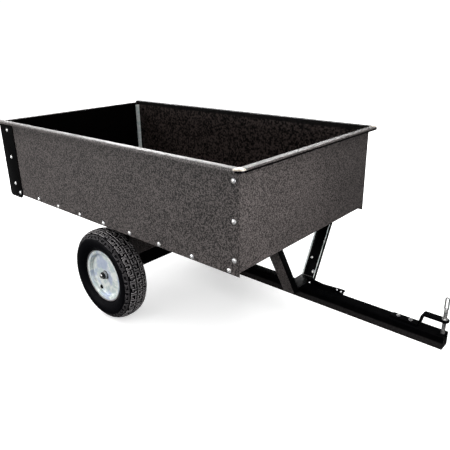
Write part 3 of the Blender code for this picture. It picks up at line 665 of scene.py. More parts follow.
def front_rim(work, side_end, back, front, wall_y, half, top):
    """The front rim in one piece: a plate with round corners and a lip bent down along its edge.

    It meets the side rims at side_end, and the front wall at back between -wall_y and wall_y.
    """
    corner_r = 0.028
    edge = [(side_end, half)]
    edge += arc((front - corner_r, half - corner_r), corner_r, 90, 0, 10)
    edge += arc((front - corner_r, corner_r - half), corner_r, 0, -90, 10)
    edge.append((side_end, -half))
    hem = 0.0055                # below this depth the lip is painted black: a painted shadow line under the rim
    depth = 0.012
    profile = arc((BEND, BEND), BEND, -90, -180, 5) + [(0, hem), (0, depth), (SHEET, depth)]
    profile += arc((BEND, BEND), BEND - SHEET, -180, -90, 5)
    rings = []
    seam = [Vector((min(x, back), max(-wall_y, min(wall_y, y)))) for x, y in edge]
    rings.append([work.verts.new((*point, top)) for point in seam])
    for inset, drop in profile:
        rings.append([work.verts.new((*point, top - drop)) for point in banks(edge, -2 * inset)[0]])
    rings.append([work.verts.new((*point, top - SHEET)) for point in seam])
    skin(work, rings, closed=True, loop=False)
    for tip in (0, -1):
        work.faces.new([ring[tip] for ring in rings])
    for face in work.faces:
        middle = face.calc_center_median()
        # low on the lip: black, a painted shadow line
        if middle.z < top - hem and middle.x > back:
            face.material_index = 2
        elif abs(middle.y) > wall_y and middle.z > top - SHEET * 2:
            face.material_index = 1
    bmesh.ops.remove_doubles(work, verts=[vert for ring in (rings[0], rings[-1]) for vert in ring],
                             dist=1e-5)


def front_panel():
    """Front wall, its rim over the full width, side flanges and the shelf under the floor."""
    low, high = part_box("front_panel")
    wall = high.x - 0.032 - SHEET / 2 + 0.001
    top = high.z - SHEET / 2
    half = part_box("floor_pan")[1].y - GAP
    work = bmesh.new()
    foot = low.z + SHEET / 2
    points = [(wall - 0.030, foot), (wall, foot), (wall, top), (wall + 0.008, top)]
    # the wall's inner face and the side flanges take the inside's paint: painted shade
    bent_sheet(work, points, SHEET, run_ends("y", -half, half), slots=(1, 0))
    for sign in SIDES.values():
        flange = [(wall, sign * (half - 0.006)), (wall, sign * (half - SHEET / 2)),
                  (wall - 0.038, sign * (half - SHEET / 2))]
        bent_sheet(work, flange, SHEET, run_ends("z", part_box("floor_pan")[1].z + 0.004, top - 0.006),
                   radius=0.003, slots=(1, 1))
    piece("front_wall", work, [HAMMERTONE, SHADED_INSIDE_PAINT], "tub", ["front_panel"],
          bevel=0.0004)
    work = bmesh.new()
    side_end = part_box("side_panel_left")[1].x + GAP
    front_rim(work, side_end, wall + 0.008, high.x, half + GAP, high.y, top + SHEET / 2)
    piece("front_rim", work, [HAMMERTONE, CORNER_WELD, BLACK], "tub")


def floor_pan():
    """The tub's floor, turned down along both sides."""
    low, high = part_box("floor_pan")
    edge = high.y - SHEET / 2
    top = high.z - SHEET / 2
    work = bmesh.new()
    points = [(-edge, low.z), (-edge, top), (edge, top), (edge, low.z)]
    # the floor's top takes the inside's paint: painted shade
    bent_sheet(work, points, SHEET, run_ends("x", low.x, high.x), slots=(1, 0))
    piece("tub_floor", work, [HAMMERTONE, SHADED_INSIDE_PAINT], "tub", ["floor_pan"])


def rear_post(side):
    """Black corner post, folded round the rear edge, with its lower corners rounded off."""
    sign = SIDES[side]
    low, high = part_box(f"rear_post_{side}")
    outer = sign * (far_y(f"rear_post_{side}") - STRIP / 2)
    inner = sign * near_y(f"rear_post_{side}")
    rear = low.x + STRIP / 2
    work = bmesh.new()
    bent_sheet(work, [(high.x, outer), (rear, outer), (rear, inner)], STRIP,
               run_ends("z", low.z, high.z), radius=0.005)
    post = piece(f"corner_post_{side}", work, BLACK, "tub", [f"rear_post_{side}"],
                 bevel=0.0006)
    radius = 0.026
    trim = bmesh.new()
    outline = [(low.x - 0.01, high.z + 0.01), (high.x + 0.01, high.z + 0.01)]
    outline += [(high.x + 0.01, low.z + radius), (high.x, low.z + radius)]
    outline += arc((high.x - radius, low.z + radius), radius, 0, -90, 8)
    outline += arc((low.x + radius, low.z + radius), radius, -90, -180, 8)
    outline += [(low.x - 0.01, low.z + radius)]
    prism(trim, outline, -0.5, 0.5, point_on("y"))
    cut(post, trim, "INTERSECT")


def tailgate_guide(side):
    """Galvanised channel that the tailgate slides in; its pale zinc is also a painted highlight along the
    gate's edge.
    """
    sign = SIDES[side]
    low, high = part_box(f"tailgate_guide_{side}")
    wall = sign * (far_y(f"tailgate_guide_{side}") - SHEET / 2)
    inner = sign * (near_y(f"tailgate_guide_{side}") + 0.004)
    rear = low.x + SHEET / 2
    work = bmesh.new()
    bent_sheet(work, [(high.x - 0.008, wall), (rear, wall), (rear, inner)], SHEET,
               run_ends("z", low.z, high.z), radius=0.003)
    piece(f"gate_guide_{side}", work, ZINC_AND_HIGHLIGHT, "tub", [f"tailgate_guide_{side}"],
          bevel=0.0003)


def tailgate():
    """Lift-out tailgate: hems at its sides, and a rim folded back along the top."""
    low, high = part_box("tailgate")
    front = high.x - SHEET / 2
    half = high.y - SHEET / 2
    hem = front - 0.016
    work = bmesh.new()
    points = [(hem, -half), (front, -half), (front, half), (hem, half)]
    # the inner face takes the nearly black gate paint: painted shade
    bent_sheet(work, points, SHEET, run_ends("z", low.z, high.z - SHEET), radius=0.003, slots=(0, 1))
    rim = [(front, high.z - 0.012), (front, high.z - SHEET / 2), (low.x + SHEET, high.z - SHEET / 2),
           (low.x + SHEET, high.z - 0.009)]
    bent_sheet(work, rim, SHEET, run_ends("y", -half, half), radius=0.003, slots=(0, 0))
    piece("lift_gate", work, [HAMMERTONE, SHADED_GATE_PAINT], "tailgate", ["tailgate"],
          bevel=0.0003)


# --- running gear ---

def bolster():
    """The folded trough under the floor."""
    low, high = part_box("bolster")
    middle = (low.x + high.x) / 2
    top = high.z - STRIP / 2
    foot = low.z + STRIP / 2
    outline = [(low.x, top), (low.x + 0.025, top), (middle - 0.021, foot), (middle + 0.021, foot),
               (high.x - 0.025, top), (high.x, top)]
    work = bmesh.new()
    bent_sheet(work, outline, STRIP, run_ends("y", low.y, high.y), radius=0.006, slots=(0, 0))
    piece("floor_bolster", work, HAMMERTONE, "tub", ["bolster"], bevel=0.0004)


def axle_parts():
    """Shaft with threaded ends, and the washer and nut outside each wheel."""
    centre = Vector(JOINTS["tub_tilt"]["pos_m"])
    low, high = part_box("axle_shaft")
    radius = (high.z - low.z) / 2
    thread = 0.018
    plain = high.y - thread
    work = bmesh.new()
    middle = spin_matrix((centre.x, 0, centre.z), "y")
    turn(work, [(0, -plain), (radius, -plain), (radius, plain), (0, plain)], middle, segments=48)
    for sign in SIDES.values():
        end = spin_matrix((centre.x, sign * plain, centre.z), "y", sign)
        threaded_end(work, end, radius * 0.98, thread, 0.0016)
    piece("axle_rod", work, STEEL, "tub", ["axle_shaft"])
    for side, sign in SIDES.items():
        work = bmesh.new()
        names = [f"axle_washer_{side}", f"axle_nut_{side}"]
        washer_at, nut_at = [spin_matrix((centre.x, sign * near_y(name), centre.z), "y", sign)
                             for name in names]
        low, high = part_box(names[0])
        washer(work, washer_at, radius + GAP, (high.z - low.z) / 2, high.y - low.y)
        low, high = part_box(names[1])
        hex_head(work, nut_at, (high.x - low.x) / 2, high.y - low.y, radius)
        piece(f"axle_end_{side}", work, DARK_STEEL, "tub", names, bevel=0.0002)


def section_point(angle, half_width, half_height, middle_r):
    """A point (radius, run) of the tyre's rounded section, from the crown at angle 0."""
    rise, run = math.cos(angle), math.sin(angle)
    return (middle_r + half_height * math.copysign(abs(rise) ** SECTION_POWER, rise),
            half_width * abs(run) ** SECTION_POWER)


def section_table(half_width, half_height, middle_r, steps=400):
    """Points of the section with their distance from the crown, measured along it."""
    table = []
    length = 0.0
    previous = None
    for step in range(steps + 1):
        point = section_point(math.radians(110) * step / steps, half_width, half_height, middle_r)
        if previous:
            length += math.dist(previous, point)
        table.append((length, *point))
        previous = point
    return table


def on_section(table, distance):
    """(radius, run, normal) at a distance from the crown; the other half has negative distance."""
    side = -1 if distance < 0 else 1
    wanted = abs(distance)
    for (d0, r0, y0), (d1, r1, y1) in zip(table, table[1:]):
        if d1 >= wanted:
            share = (wanted - d0) / (d1 - d0)
            along = Vector((r1 - r0, y1 - y0)).normalized()
            normal = Vector((along.y, -along.x * side))
            return r0 + (r1 - r0) * share, side * (y0 + (y1 - y0) * share), normal
    raise ValueError("distance lies past the section's table")


def lug(work, table, centre, theta, distance, rows, length, width, height):
    """One tread lug. rows is its plan: each # is a raised cell, with walls at its open edges."""
    verts = {}

    def corner(column, row, level):
        key = (column, row, level)
        if key not in verts:
            radius, run, normal = on_section(table, distance + width * (LUG_CUTS[row] - 0.5))
            lift = height - TREAD_HEIGHT if level else -TREAD_HEIGHT - 0.0012
            radius += normal.x * lift
            run += normal.y * lift
            angle = theta + length * (LUG_CUTS[column] - 0.5) / radius
            verts[key] = work.verts.new(centre + Vector((radius * math.cos(angle), run,
                                                         radius * math.sin(angle))))
        return verts[key]

    def raised(column, row):
        return 0 <= row < len(rows) and 0 <= column < len(rows[row]) and rows[row][column] == "#"

    for row in range(len(rows)):
        for column in range(len(rows[row])):
            if not raised(column, row):
                continue
            ring = [(column, row), (column + 1, row), (column + 1, row + 1), (column, row + 1)]
            work.faces.new([corner(a, b, 1) for a, b in ring]).material_index = 1
            # the lug's underside and walls take the near-black sidewall rubber: painted shade in the
            # grooves
            work.faces.new([corner(a, b, 0) for a, b in reversed(ring)]).material_index = 0
            beside = [(column, row - 1), (column + 1, row), (column, row + 1), (column - 1, row)]
            for (a, b), (c, d), other in zip(ring, ring[1:] + ring[:1], beside):
                if not raised(*other):
                    wall = (corner(c, d, 1), corner(a, b, 1), corner(a, b, 0), corner(c, d, 0))
                    work.faces.new(wall).material_index = 0


def lug_row(work, table, centre, outer_r, row, height):
    """One row of lugs round the tyre, row places from the crown."""
    pitch = 2 * math.pi / TREAD_LUGS
    for index in range(TREAD_LUGS):
        theta = pitch * (index + (0.5 if row % 2 else 0.0))
        rows = LUG_SHAPES[(index + 2 * row) % len(LUG_SHAPES)]
        if row < 0:
            rows = rows[::-1]
        lug(work, table, centre, theta, row * LUG_PITCH, rows, outer_r * pitch * 0.84, LUG_WIDTH, height)


def tyre(side):
    """Carcass with bead rings on its sidewalls, and staggered rows of hooked turf blocks."""
    sign = SIDES[side]
    centre = wheel_centre(side)
    low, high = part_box(f"tyre_{side}")
    outer_r = (high.z - low.z) / 2
    half_width = (high.y - low.y) / 2
    bead_r, flange_r = 0.104, 0.113
    middle_r = (outer_r + flange_r) / 2
    table = section_table(half_width, outer_r - middle_r, middle_r)
    # the carcass lies a tread block's height under the full section, and meets it on the sidewall
    half = []
    for step in range(45):
        angle = math.radians(134) * step / 44
        fade = min(1.0, max(0.0, (math.degrees(angle) - 64) / 22))
        inset = TREAD_HEIGHT * (1 - fade * fade * (3 - 2 * fade))
        radius, run = section_point(angle, half_width - inset * 0.4, outer_r - middle_r - inset, middle_r)
        for ring_r, width, rise in ((0.165, 0.0016, 0.0007), (0.128, 0.0022, 0.0009),
                                    (0.122, 0.0016, 0.0007)):
            run += rise * math.exp(-((radius - ring_r) / width) ** 2)
        half.append((radius, min(run, half_width)))
    half += [(flange_r + 0.003, 0.0405), (flange_r + 0.0018, 0.0368), (bead_r, 0.0362)]
    inner = [(bead_r, 0.026), (0.125, 0.044), (0.155, 0.052), (0.185, 0.040), (0.192, 0.0)]
    profile = half + inner + [(r, -y) for r, y in inner[-2::-1]] + [(r, -y) for r, y in half[:0:-1]]
    work = bmesh.new()
    turn(work, profile, spin_matrix(centre, "y", sign), closed=True)
    for row in (-1, 0, 1):
        lug_row(work, table, centre, outer_r, row, TREAD_HEIGHT)
    # the rounded lug edges take the third material: painted highlight
    piece(f"turf_tyre_{side}", work, [SIDEWALL, TREAD, LUG_EDGE_HIGHLIGHT], f"wheel_{side}", [f"tyre_{side}"],
          bevel=0.0014, sharp=40, steps=1, edges=2)
    work = bmesh.new()
    for row in (-2, 2):
        lug_row(work, table, centre, outer_r, row, TREAD_HEIGHT * 0.7)
    # the rounded block edges take the third material: painted highlight
    piece(f"shoulder_blocks_{side}", work, [SIDEWALL, SHOULDER, SHOULDER_EDGE_HIGHLIGHT], f"wheel_{side}",
          bevel=0.0010, sharp=40, steps=1, edges=2)


def rim(side):
    """Rim barrel with rolled flanges, a drop centre and bead humps."""
    low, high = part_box(f"rim_barrel_{side}")
    flange_r = (high.z - low.z) / 2
    width = (high.y - low.y) / 2
    sheet = 0.0026
    seat = flange_r - 0.0130
    half = [(flange_r - 0.0004, width - 0.0004), (flange_r - 0.0020, width - 0.0014),
            (seat, width - 0.0020), (seat, 0.024), (seat - 0.010, 0.012)]
    points = half + [(r, -y) for r, y in reversed(half)]
    work = bmesh.new()
    turn(work, thick_outline(points, sheet, 0.0030, 4), spin_matrix(wheel_centre(side), "y", SIDES[side]),
         closed=True)
    piece(f"wheel_rim_{side}", work, GALVANISED, f"wheel_{side}", [f"rim_barrel_{side}"],
          bevel=0.0003)


def disc(side):
    """Pressed wheel disc with a shallow ring round the hub, a valve hole and a grease hole."""
    sign = SIDES[side]
    centre = wheel_centre(side)
    low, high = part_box(f"wheel_disc_{side}")
    radius = (high.z - low.z) / 2
    out = far_y(f"wheel_disc_{side}") - abs(centre.y) - DISC_DEPTH - 0.0012
    # from the weld on the rim inwards to the hub
    points = [(radius - 0.0016, 0.0078), (radius - 0.0016, -0.0010), (radius - 0.011, -0.0026),
              (0.070, -0.0010), (0.058, 0.0002), (0.034, 0.0002), (0.030, -0.0006), (0.0172, -0.0004)]
    points = [(r, out + rise) for r, rise in points]
    work = bmesh.new()
    turn(work, thick_outline(points, 0.0024, 0.0045), spin_matrix(centre, "y", sign), closed=True)
    plate = piece(f"wheel_plate_{side}", work, GALVANISED, f"wheel_{side}", [f"wheel_disc_{side}"])
    for (x, z), hole_r in ((VALVE_AT, 0.0102), (GREASE_HOLE_AT, 0.0036)):
        drill = bmesh.new()
        turn(drill, [(0, -0.2), (hole_r, -0.2), (hole_r, 0.2), (0, 0.2)],
             spin_matrix(centre + Vector((x, 0, z)), "y"), segments=32)
        cut(plate, drill)
    soften(plate, 0.0003)


def valve(side):
    """The valve stands in the disc's hole, pointing outwards."""
    sign = SIDES[side]
    centre = wheel_centre(side)
    out = far_y(f"wheel_disc_{side}") - abs(centre.y) - DISC_DEPTH - 0.0012
    stem = [(0, -0.012), (0.0070, -0.012), (0.0099, -0.004), (0.0099, 0.0004), (0.0090, 0.0010),
            (0.0056, 0.0012), (0.0048, 0.0042), (0.0042, 0.0048), (0, 0.0048)]
    x, z = VALVE_AT
    work = bmesh.new()
    turn(work, stem, spin_matrix(centre + Vector((x, sign * out, z)), "y", sign), segments=28)
    piece(f"valve_{side}", work, VALVE_RUBBER, f"wheel_{side}")


def hub(side):
    """Hub tube, and the ragged bead that welds it into the disc."""
    sign = SIDES[side]
    centre = wheel_centre(side)
    low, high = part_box(f"hub_tube_{side}")
    half = (high.y - low.y) / 2
    radius = (high.z - low.z) / 2
    profile = [(radius - 0.0035, -half), (radius - 0.0006, -half), (radius, -half + 0.0006),
               (radius, half - 0.0006), (radius - 0.0006, half), (radius - 0.0035, half)]
    work = bmesh.new()
    turn(work, profile, spin_matrix(centre, "y", sign), closed=True, segments=48)
    piece(f"hub_{side}", work, STEEL, f"wheel_{side}", [f"hub_tube_{side}"])
    face = far_y(f"wheel_disc_{side}") - abs(centre.y) - DISC_DEPTH
    rng = random.Random(7)
    ring = []
    for step in range(72):
        angle = math.radians(5 * step)
        wobble = 0.0172 + rng.uniform(-0.0003, 0.0003)
        ring.append(centre + Vector((wobble * math.cos(angle), sign * face, wobble * math.sin(angle))))
    work = bmesh.new()
    tube(work, ring, lambda share: 0.0022 + 0.0004 * math.sin(share * 2 * math.pi * 24), cyclic=True)
    piece(f"hub_weld_{side}", work, WELD, f"wheel_{side}")


def bushings(side):
    """A flanged bronze bushing in each end of the hub."""
    centre = wheel_centre(side)
    bore = 0.0098
    sleeve = bore + 0.0030
    for place, sign in (("outer", SIDES[side]), ("inner", -SIDES[side])):
        low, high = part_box(f"bushing_{place}_{side}")
        flange_r = (high.z - low.z) / 2
        end = max(abs(low.y - centre.y), abs(high.y - centre.y))
        profile = [(bore, 0.018), (sleeve, 0.018), (sleeve, end - 0.0017), (flange_r, end - 0.0017),
                   (flange_r, end - 0.0003), (flange_r - 0.0003, end), (bore + 0.0004, end),
                   (bore, end - 0.0004)]
        work = bmesh.new()
        turn(work, profile, spin_matrix(centre, "y", sign), closed=True, segments=48)
        piece(f"bearing_{place}_{side}", work, BRONZE, f"wheel_{side}", [f"bushing_{place}_{side}"])


# --- drawbar, braces and latch ---

def drawbar():
    """Square tube with rounded corners, open at both ends."""
    low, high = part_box("drawbar")
    half = (high.y - low.y) / 2
    middle = (high.z + low.z) / 2
    work = bmesh.new()
    outer = rounded_box(half, half, BAR_CORNER_R)
    inner = rounded_box(half - BAR_WALL, half - BAR_WALL, BAR_CORNER_R - BAR_WALL)
    lip = 0.0006
    rounded = rounded_box(half - lip, half - lip, BAR_CORNER_R - lip)
    rings = []
    for outline, x in ((inner, low.x), (rounded, low.x), (outer, low.x + lip), (outer, high.x - lip),
                       (rounded, high.x), (inner, high.x)):
        rings.append([work.verts.new((x, a, middle + b)) for a, b in outline])
    skin(work, rings, closed=True)
    piece("tow_bar", work, BAR_BLACK, "drawbar", ["drawbar"], sharp=50)


def brace(side):
    """Channel leaning out from the drawbar to the floor: hammered paint on its outer face, black
    elsewhere as painted shade, and pale zinc on its cut edges and the rear flange's upper inside as a
    painted highlight.
    """
    sign = SIDES[side]
    slope = 0.54
    low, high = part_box(f"v_brace_{side}")
    middle = (low.x + high.x) / 2
    half = (high.x - low.x) / 2 - STRIP / 2
    lean = math.atan(slope)
    run = Vector((0, sign * math.sin(lean), math.cos(lean)))
    across = Vector((0, sign * math.cos(lean), -math.sin(lean)))
    # the web's outer face meets the foot's plane at the node's lower outer corner
    foot = Vector((middle, sign * (far_y(f"v_brace_{side}") - (high.z - low.z) * slope), low.z))

    def ends(a, b, which):
        start = foot + Vector((a, 0, 0)) + across * b
        level = (low.z, high.z)[which]
        return start + run * ((level - start.z) / run.z)

    points = [(-half, -0.018), (-half, -STRIP / 2), (half, -STRIP / 2), (half, -0.024)]
    work = bmesh.new()
    bent_sheet(work, points, STRIP, ends, radius=0.005)
    painted_highlight_from = -0.0105         # depth where the rear flange's inside turns to the painted highlight
    bmesh.ops.bisect_plane(work, geom=[*work.verts, *work.edges, *work.faces],
                           plane_co=foot + across * painted_highlight_from, plane_no=across)
    bmesh.ops.recalc_face_normals(work, faces=work.faces)
    for face in work.faces:
        facing = face.normal.dot(across)
        middle = face.calc_center_median() - foot
        depth = middle.dot(across)
        # outer face hammered paint; the rest black, painted shade inside the channel; flange tips and the
        # rear flange's upper inside pale zinc, painted highlight
        face.material_index = 0 if facing > 0.95 else 1
        tip = facing < -0.9 and depth < -0.0175
        if tip or (face.normal.x > 0.9 and middle.x < 0 and depth < painted_highlight_from):
            face.material_index = 2
    piece(f"brace_{side}", work, [HAMMERTONE, BLACK, ZINC_AND_HIGHLIGHT], "tub", [f"v_brace_{side}"],
          bevel=0.0005)
    work = bmesh.new()
    for a, height, head_r in ((-0.015, 0.302, 0.0055), (0.010, 0.254, 0.0075)):
        level = foot + Vector((a, 0, 0)) - across * (STRIP + GAP)
        seat = level + run * ((height - level.z) / run.z)
        inward = (-across).to_track_quat("Z", "Y").to_matrix().to_4x4()
        dome_head(work, Matrix.Translation(seat) @ inward, head_r, 0.0042)
    piece(f"brace_bolts_{side}", work, ZINC, "tub")


def hitch_strap():
    """Bent strap over the drawbar's end, with a round tip."""
    low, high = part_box("hitch_strap")
    half = (high.y - low.y) / 2
    seat = low.z + STRAP / 2
    top = high.z - STRAP / 2
    points = [(low.x, seat), (0.941, seat), (0.951, top), (high.x, top)]
    work = bmesh.new()
    bent_sheet(work, points, STRAP, run_ends("y", low.y, high.y), radius=0.006)
    strap = piece("hitch_strap_plate", work, BAR_BLACK, "drawbar", ["hitch_strap"],
                  bevel=0.0008)
    trim = bmesh.new()
    outline = arc((high.x - half, 0), half, -90, 90, 14)
    corner_r = 0.006
    outline += arc((low.x + corner_r, half - corner_r), corner_r, 90, 180, 4)
    outline += arc((low.x + corner_r, corner_r - half), corner_r, 180, 270, 4)
    prism(trim, outline, 0.2, 0.4, point_on("z"))
    cut(strap, trim, "INTERSECT")
    drill = bmesh.new()
    turn(drill, [(0, 0.26), (0.0075, 0.26), (0.0075, 0.3), (0, 0.3)],
         spin_matrix((mid("hitch_pin")[0], 0, 0), "z"), segments=32)
    cut(strap, drill)


def hitch_bolts():
    """Hexagon bolts through the strap and the drawbar's top, with the nuts inside the tube."""
    for end in ("rear", "front"):
        x = mid(f"hitch_bolt_{end}")[0]
        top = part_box(f"hitch_bolt_{end}")[1].z
        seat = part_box("hitch_strap")[0].z + STRAP + GAP
        work = bmesh.new()
        washer(work, spin_matrix((x, 0, seat), "z"), SHANK_R, 0.0070, 0.0010)
        hex_head(work, spin_matrix((x, 0, seat + 0.0010), "z"), 0.0058, top - seat - 0.0018)
        hex_head(work, spin_matrix((x, 0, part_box("drawbar")[1].z - BAR_WALL - GAP), "z", -1),
                 NUT_CORNER_R, NUT_H)
        piece(f"strap_bolt_{end}", work, PIN_ZINC, "drawbar", [f"hitch_bolt_{end}"],
              bevel=0.0002)


def hitch_pin():
    """Draw pin with a collar, a chamfered point and a long pull loop."""
    low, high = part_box("hitch_pin")
    x = mid("hitch_pin")[0]
    bar_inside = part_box("drawbar")[1].z - BAR_WALL      # the pin is black from here down
    radius = 0.00635
    strap_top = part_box("hitch_strap")[1].z + GAP
    neck = 0.326
    work = bmesh.new()
    profile = [(0, low.z), (radius - 0.0030, low.z), (radius, low.z + 0.006), (radius, strap_top),
               (0.0090, strap_top), (0.0095, strap_top + 0.0006), (0.0095, strap_top + 0.0034),
               (0.0090, strap_top + 0.004), (radius, strap_top + 0.004), (radius, neck - 0.002),
               (radius - 0.002, neck + 0.0015), (0, neck + 0.002)]
    turn(work, profile, spin_matrix((x, 0, 0), "z"), segments=40)
    bend = 0.0055
    rod = 0.0025
    route = arc((0, high.z - rod - bend), bend, 0, 180, 12) + arc((0, neck + 0.004), bend, 180, 360, 12)
    tube(work, [(x + a, 0, b) for a, b in route], rod, cyclic=True, sides=14)
    bmesh.ops.bisect_plane(work, geom=[*work.verts, *work.edges, *work.faces],
                           plane_co=(0, 0, bar_inside), plane_no=(0, 0, 1))
    for face in work.faces:
        face.material_index = int(face.calc_center_median().z < bar_inside)
    piece("draw_pin", work, [PIN_ZINC, BLACK], "hitch_pin", ["hitch_pin"])


def pedal():
    """Hooked pedal plate of the foot latch, and the rivets of its pad."""
    pivot = JOINTS["latch_press"]["pos_m"]
    low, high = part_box("latch_pedal")
    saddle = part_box("brace_saddle")[1]
    tip_r = 0.014
    tip = (high.x - tip_r, 0.236)
    hook_foot = saddle.z + GAP
    throat = saddle.x + 0.002
    outline = arc((pivot[0], pivot[2]), 0.013, 180, 310, 16)
    outline += arc(tip, tip_r, -90, 90, 16)
    outline += [(pivot[0] + 0.012, high.z - 0.006), (throat + 0.006, high.z)]
    outline += [(saddle.x - 0.012, high.z), (saddle.x - 0.014, hook_foot), (throat, hook_foot),
                (throat, pivot[2] + 0.016)]
    work = bmesh.new()
    prism(work, outline, low.y, high.y, point_on("y"))
    piece("pedal_plate", work, BLACK, "latch", ["latch_pedal"], bevel=0.0008)
    work = bmesh.new()
    for x, z in ((0.610, 0.2435), (0.628, 0.2405)):
        dome_head(work, spin_matrix((x, low.y, z), "y", -1), 0.0042, 0.0024)
    piece("pedal_rivets", work, ZINC, "latch")


def latch_pivot():
    """The stud that the pedal turns on, and the return spring coiled round it."""
    pivot = JOINTS["latch_press"]["pos_m"]
    low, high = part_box("latch_spring")
    coil_r, wire_r, steps = 0.0073, 0.0011, 16 * 5      # five turns
    coil = []
    for step in range(steps + 1):
        angle = 2 * math.pi * step / 16
        along = low.y + wire_r + (high.y - low.y - 2 * wire_r) * step / steps
        coil.append((pivot[0] + coil_r * math.cos(angle), along, pivot[2] + coil_r * math.sin(angle)))
    work = bmesh.new()
    tube(work, coil, 0.0009)
    piece("return_spring", work, STEEL, "latch", ["latch_spring"])
    low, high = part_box("latch_stud")
    head = high.y - 0.004
    profile = [(0, low.y), (0.005, low.y), (0.005, head), (0.009, head), (0.009, high.y - 0.0008),
               (0.0082, high.y), (0, high.y)]
    work = bmesh.new()
    turn(work, profile, spin_matrix((pivot[0], 0, pivot[2]), "y"), segments=36)
    piece("pivot_stud", work, ZINC, "drawbar", ["latch_stud"])


def foot_pad():
    """The pedal's pad, with three ribs across it."""
    low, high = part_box("foot_pad")
    x, y, _ = mid("foot_pad")
    outline = rounded_box((high.x - low.x) / 2, (high.y - low.y) / 2, 0.004)
    work = bmesh.new()
    prism(work, [(x + a, y + b) for a, b in outline], low.z, high.z - 0.0012, point_on("z"))
    for share in (1 / 6, 3 / 6, 5 / 6):
        rib_y = low.y + (high.y - low.y) * share
        rib = [(x + a, rib_y + b) for a, b in rounded_box(0.0095, 0.0016, 0.0012, 3)]
        prism(work, rib, high.z - 0.0014, high.z, point_on("z"))
    piece("pedal_pad", work, BLACK, "latch", ["foot_pad"], bevel=0.0004)


def tongue_bolts():
    """Hexagon bolts through the pivot plates, with washers under head and nut."""
    for end in ("rear", "front"):
        x, _, z = mid(f"tongue_bolt_{end}")
        work = bmesh.new()
        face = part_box("pivot_plate_left")[1].y + GAP
        for sign in SIDES.values():
            place = spin_matrix((x, sign * face, z), "y", sign)
            washer(work, place, 0.005, 0.0098, 0.0010)
            hex_head(work, place @ Matrix.Translation((0, 0, 0.0010)), 0.0086,
                     far_y(f"tongue_bolt_{end}") - face - 0.0014)
        piece(f"plate_bolt_{end}", work, ZINC, "drawbar", [f"tongue_bolt_{end}"],
              bevel=0.0002)


def weld_seams():
    """Beads along the braces' feet and the axle beam's top."""
    rng = random.Random(3)

    def bead(work, start, end, width):
        start, end = Vector(start), Vector(end)
        steps = max(6, int((end - start).length / 0.0025))
        points = []
        for step in range(steps + 1):
            sway = Vector((rng.uniform(-1, 1), rng.uniform(-1, 1), rng.uniform(-1, 1))) * 0.0003
            points.append(start.lerp(end, step / steps) + sway)
        tube(work, points, lambda share: width * (0.85 + 0.15 * math.sin(share * steps * 1.9)))

    work = bmesh.new()
    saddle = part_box("brace_saddle")
    for side, sign in SIDES.items():
        low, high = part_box(f"v_brace_{side}")
        y = sign * (saddle[1].y + 0.0012)
        bead(work, (low.x + 0.006, y, saddle[1].z), (high.x - 0.006, y, saddle[1].z), 0.0018)
    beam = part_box("axle_beam")
    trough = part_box("bolster")
    middle = (beam[0].x + beam[1].x) / 2
    for side in (-1, 1):
        for start in (-0.29, -0.12, 0.05, 0.22):
            x = middle + side * 0.0195
            bead(work, (x, start, trough[0].z), (x, start + 0.06, trough[0].z), 0.0016)
    piece("weld_beads", work, WELD, "tub")
    work = bmesh.new()
    for side, sign in SIDES.items():
        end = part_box(f"side_panel_{side}")[1]
        rim_y = far_y(f"side_panel_{side}")
        z = end.z - 0.0028
        bead(work, (end.x, sign * (rim_y - 0.030), z), (end.x, sign * (rim_y - 0.001), z), 0.0022)
    piece("rim_welds", work, CORNER_WELD, "tub")


def cad_pieces():
    """The CAD parts whose shape is right as it is: softer edges and real finishes."""
    plain = {
        "axle_beam": (BLACK, 0.0008),
        "brace_rail": (BLACK, 0.0008),
        "brace_saddle": (BLACK, 0.0010),
        "pivot_plate_left": (BLACK, 0.0008),
        "pivot_plate_right": (BLACK, 0.0008),
        "hub_spacer_left": (STEEL, 0.0004),
        "hub_spacer_right": (STEEL, 0.0004),
    }
    for name, (material, width) in plain.items():
        node = NODES[name]
        for place in node.material_slots:
            place.material = material
        soften(node, width, 2, 40)


# --- stage ---

def add_floor():
    """A pale studio floor, far larger than the view. It bounces less light than it shows."""
    work = bmesh.new()
    size = 60.0
    corners = [(-size, -size), (size, -size), (size, size), (-size, size)]
    work.faces.new([work.verts.new((x, y, 0)) for x, y in corners])
    floor = new_object("studio_floor", finished_mesh("studio_floor", work))
    surface = Surface("pale_floor", 0.9, 0.0, Specular_IOR_Level=0.0)
    pale = surface.mix(surface.noise(1.5, 2.0), (0.93, 0.93, 0.93), (0.95, 0.95, 0.95))
    direct = surface.add("ShaderNodeLightPath").outputs["Is Camera Ray"]
    surface.put("Base Color", surface.mix(direct, (0.08, 0.08, 0.08), pale))
    surface.put("Emission Color", (1.0, 1.0, 1.0))
    surface.put("Emission Strength", surface.math("MULTIPLY", direct, 0.42))
    floor.data.materials.append(surface.material)


def add_world(shown, lighting):
    """White to the camera, and a softer grey as a source of light."""
    world = bpy.data.worlds.new("studio")
    bpy.context.scene.world = world
    world.use_nodes = True
    nodes = world.node_tree.nodes
    links = world.node_tree.links
    path = nodes.new("ShaderNodeLightPath")
    mixer = nodes.new("ShaderNodeMixShader")
    links.new(path.outputs["Is Camera Ray"], mixer.inputs[0])
    for socket, strength in ((1, lighting), (2, shown)):
        back = nodes.new("ShaderNodeBackground")
        back.inputs["Color"].default_value = (1, 1, 1, 1)
        back.inputs["Strength"].default_value = strength
        links.new(back.outputs[0], mixer.inputs[socket])
    links.new(mixer.outputs[0], nodes["World Output"].inputs["Surface"])


def add_light(name, location, target, size, power):
    """A rectangular lamp that points at target and can't be seen itself."""
    light = bpy.data.lights.new(name, "AREA")
    light.shape = "RECTANGLE"
    light.size, light.size_y = size
    light.energy = power
    lamp = new_object(name, light)
    lamp.location = location
    lamp.rotation_euler = (Vector(target) - Vector(location)).to_track_quat("-Z", "Y").to_euler()
    lamp.visible_camera = False


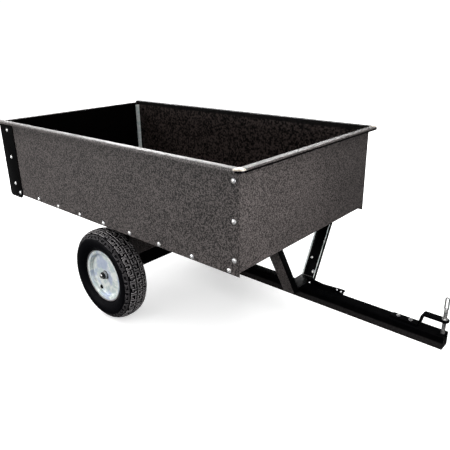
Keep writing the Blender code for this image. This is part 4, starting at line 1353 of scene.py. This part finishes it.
def add_sky_light(strength, spread):
    """Broad light from straight above, which whitens the floor and the tops of the rims."""
    light = bpy.data.lights.new("sky_light", "SUN")
    light.energy = strength
    light.angle = math.radians(spread)
    new_object("sky_light", light)


def add_camera():
    """Three-quarter view from the cart's front right, a little above it."""
    yaw, pitch, roll = (math.radians(angle) for angle in (131.95, 20.0, -1.10))
    forward = Vector((math.cos(pitch) * math.cos(yaw), math.cos(pitch) * math.sin(yaw), -math.sin(pitch)))
    right = forward.cross(Vector((0, 0, 1))).normalized()
    up = right.cross(forward)
    level = right * math.cos(roll) + up * math.sin(roll)
    upright = up * math.cos(roll) - right * math.sin(roll)
    data = bpy.data.cameras.new("camera")
    data.lens = 39.95
    data.sensor_width = 36
    data.shift_x = 0.0051
    data.shift_y = -0.0229
    camera = new_object("camera", data)
    turned = Matrix((level, upright, -forward)).transposed().to_4x4()
    camera.matrix_world = Matrix.Translation((1.4304, -1.5368, 1.1843)) @ turned
    bpy.context.scene.camera = camera


def build_stage():
    """Camera, floor, background and lamps."""
    add_camera()
    add_floor()
    add_world(shown=1.05, lighting=0.28)
    add_sky_light(2.7, 120)
    add_light("front_key", (1.25, -0.38, 0.70), (0.5, -0.35, 0.6), (0.4, 0.3), 6.1)
    add_light("side_key", (-1.5, -3.0, 0.80), (-0.6, -0.4, 0.6), (2.4, 0.6), 48)
    add_light("rim_glow", (-3.2, 3.6, 2.35), (0.1, 0.0, 0.8), (3.6, 0.5), 125)
    add_light("side_rim_glow", (-4.0, 2.0, 1.75), (-0.3, -0.4, 0.8), (2.2, 0.5), 36)
    add_light("side_edge_glow", (-3.6, -1.2, 2.9), (-0.3, -0.4, 0.8), (1.2, 1.2), 60)
    bpy.context.scene.view_settings.view_transform = "Standard"


def build_cart():
    """Every piece of the cart."""
    front_panel()
    floor_pan()
    tailgate()
    tub_bolts()
    bolster()
    axle_parts()
    drawbar()
    hitch_strap()
    hitch_bolts()
    hitch_pin()
    pedal()
    latch_pivot()
    foot_pad()
    tongue_bolts()
    weld_seams()
    for side in SIDES:
        side_panel(side)
        rear_post(side)
        tailgate_guide(side)
        brace(side)
        tyre(side)
        rim(side)
        disc(side)
        valve(side)
        hub(side)
        bushings(side)
    cad_pieces()


build_stage()
build_cart()
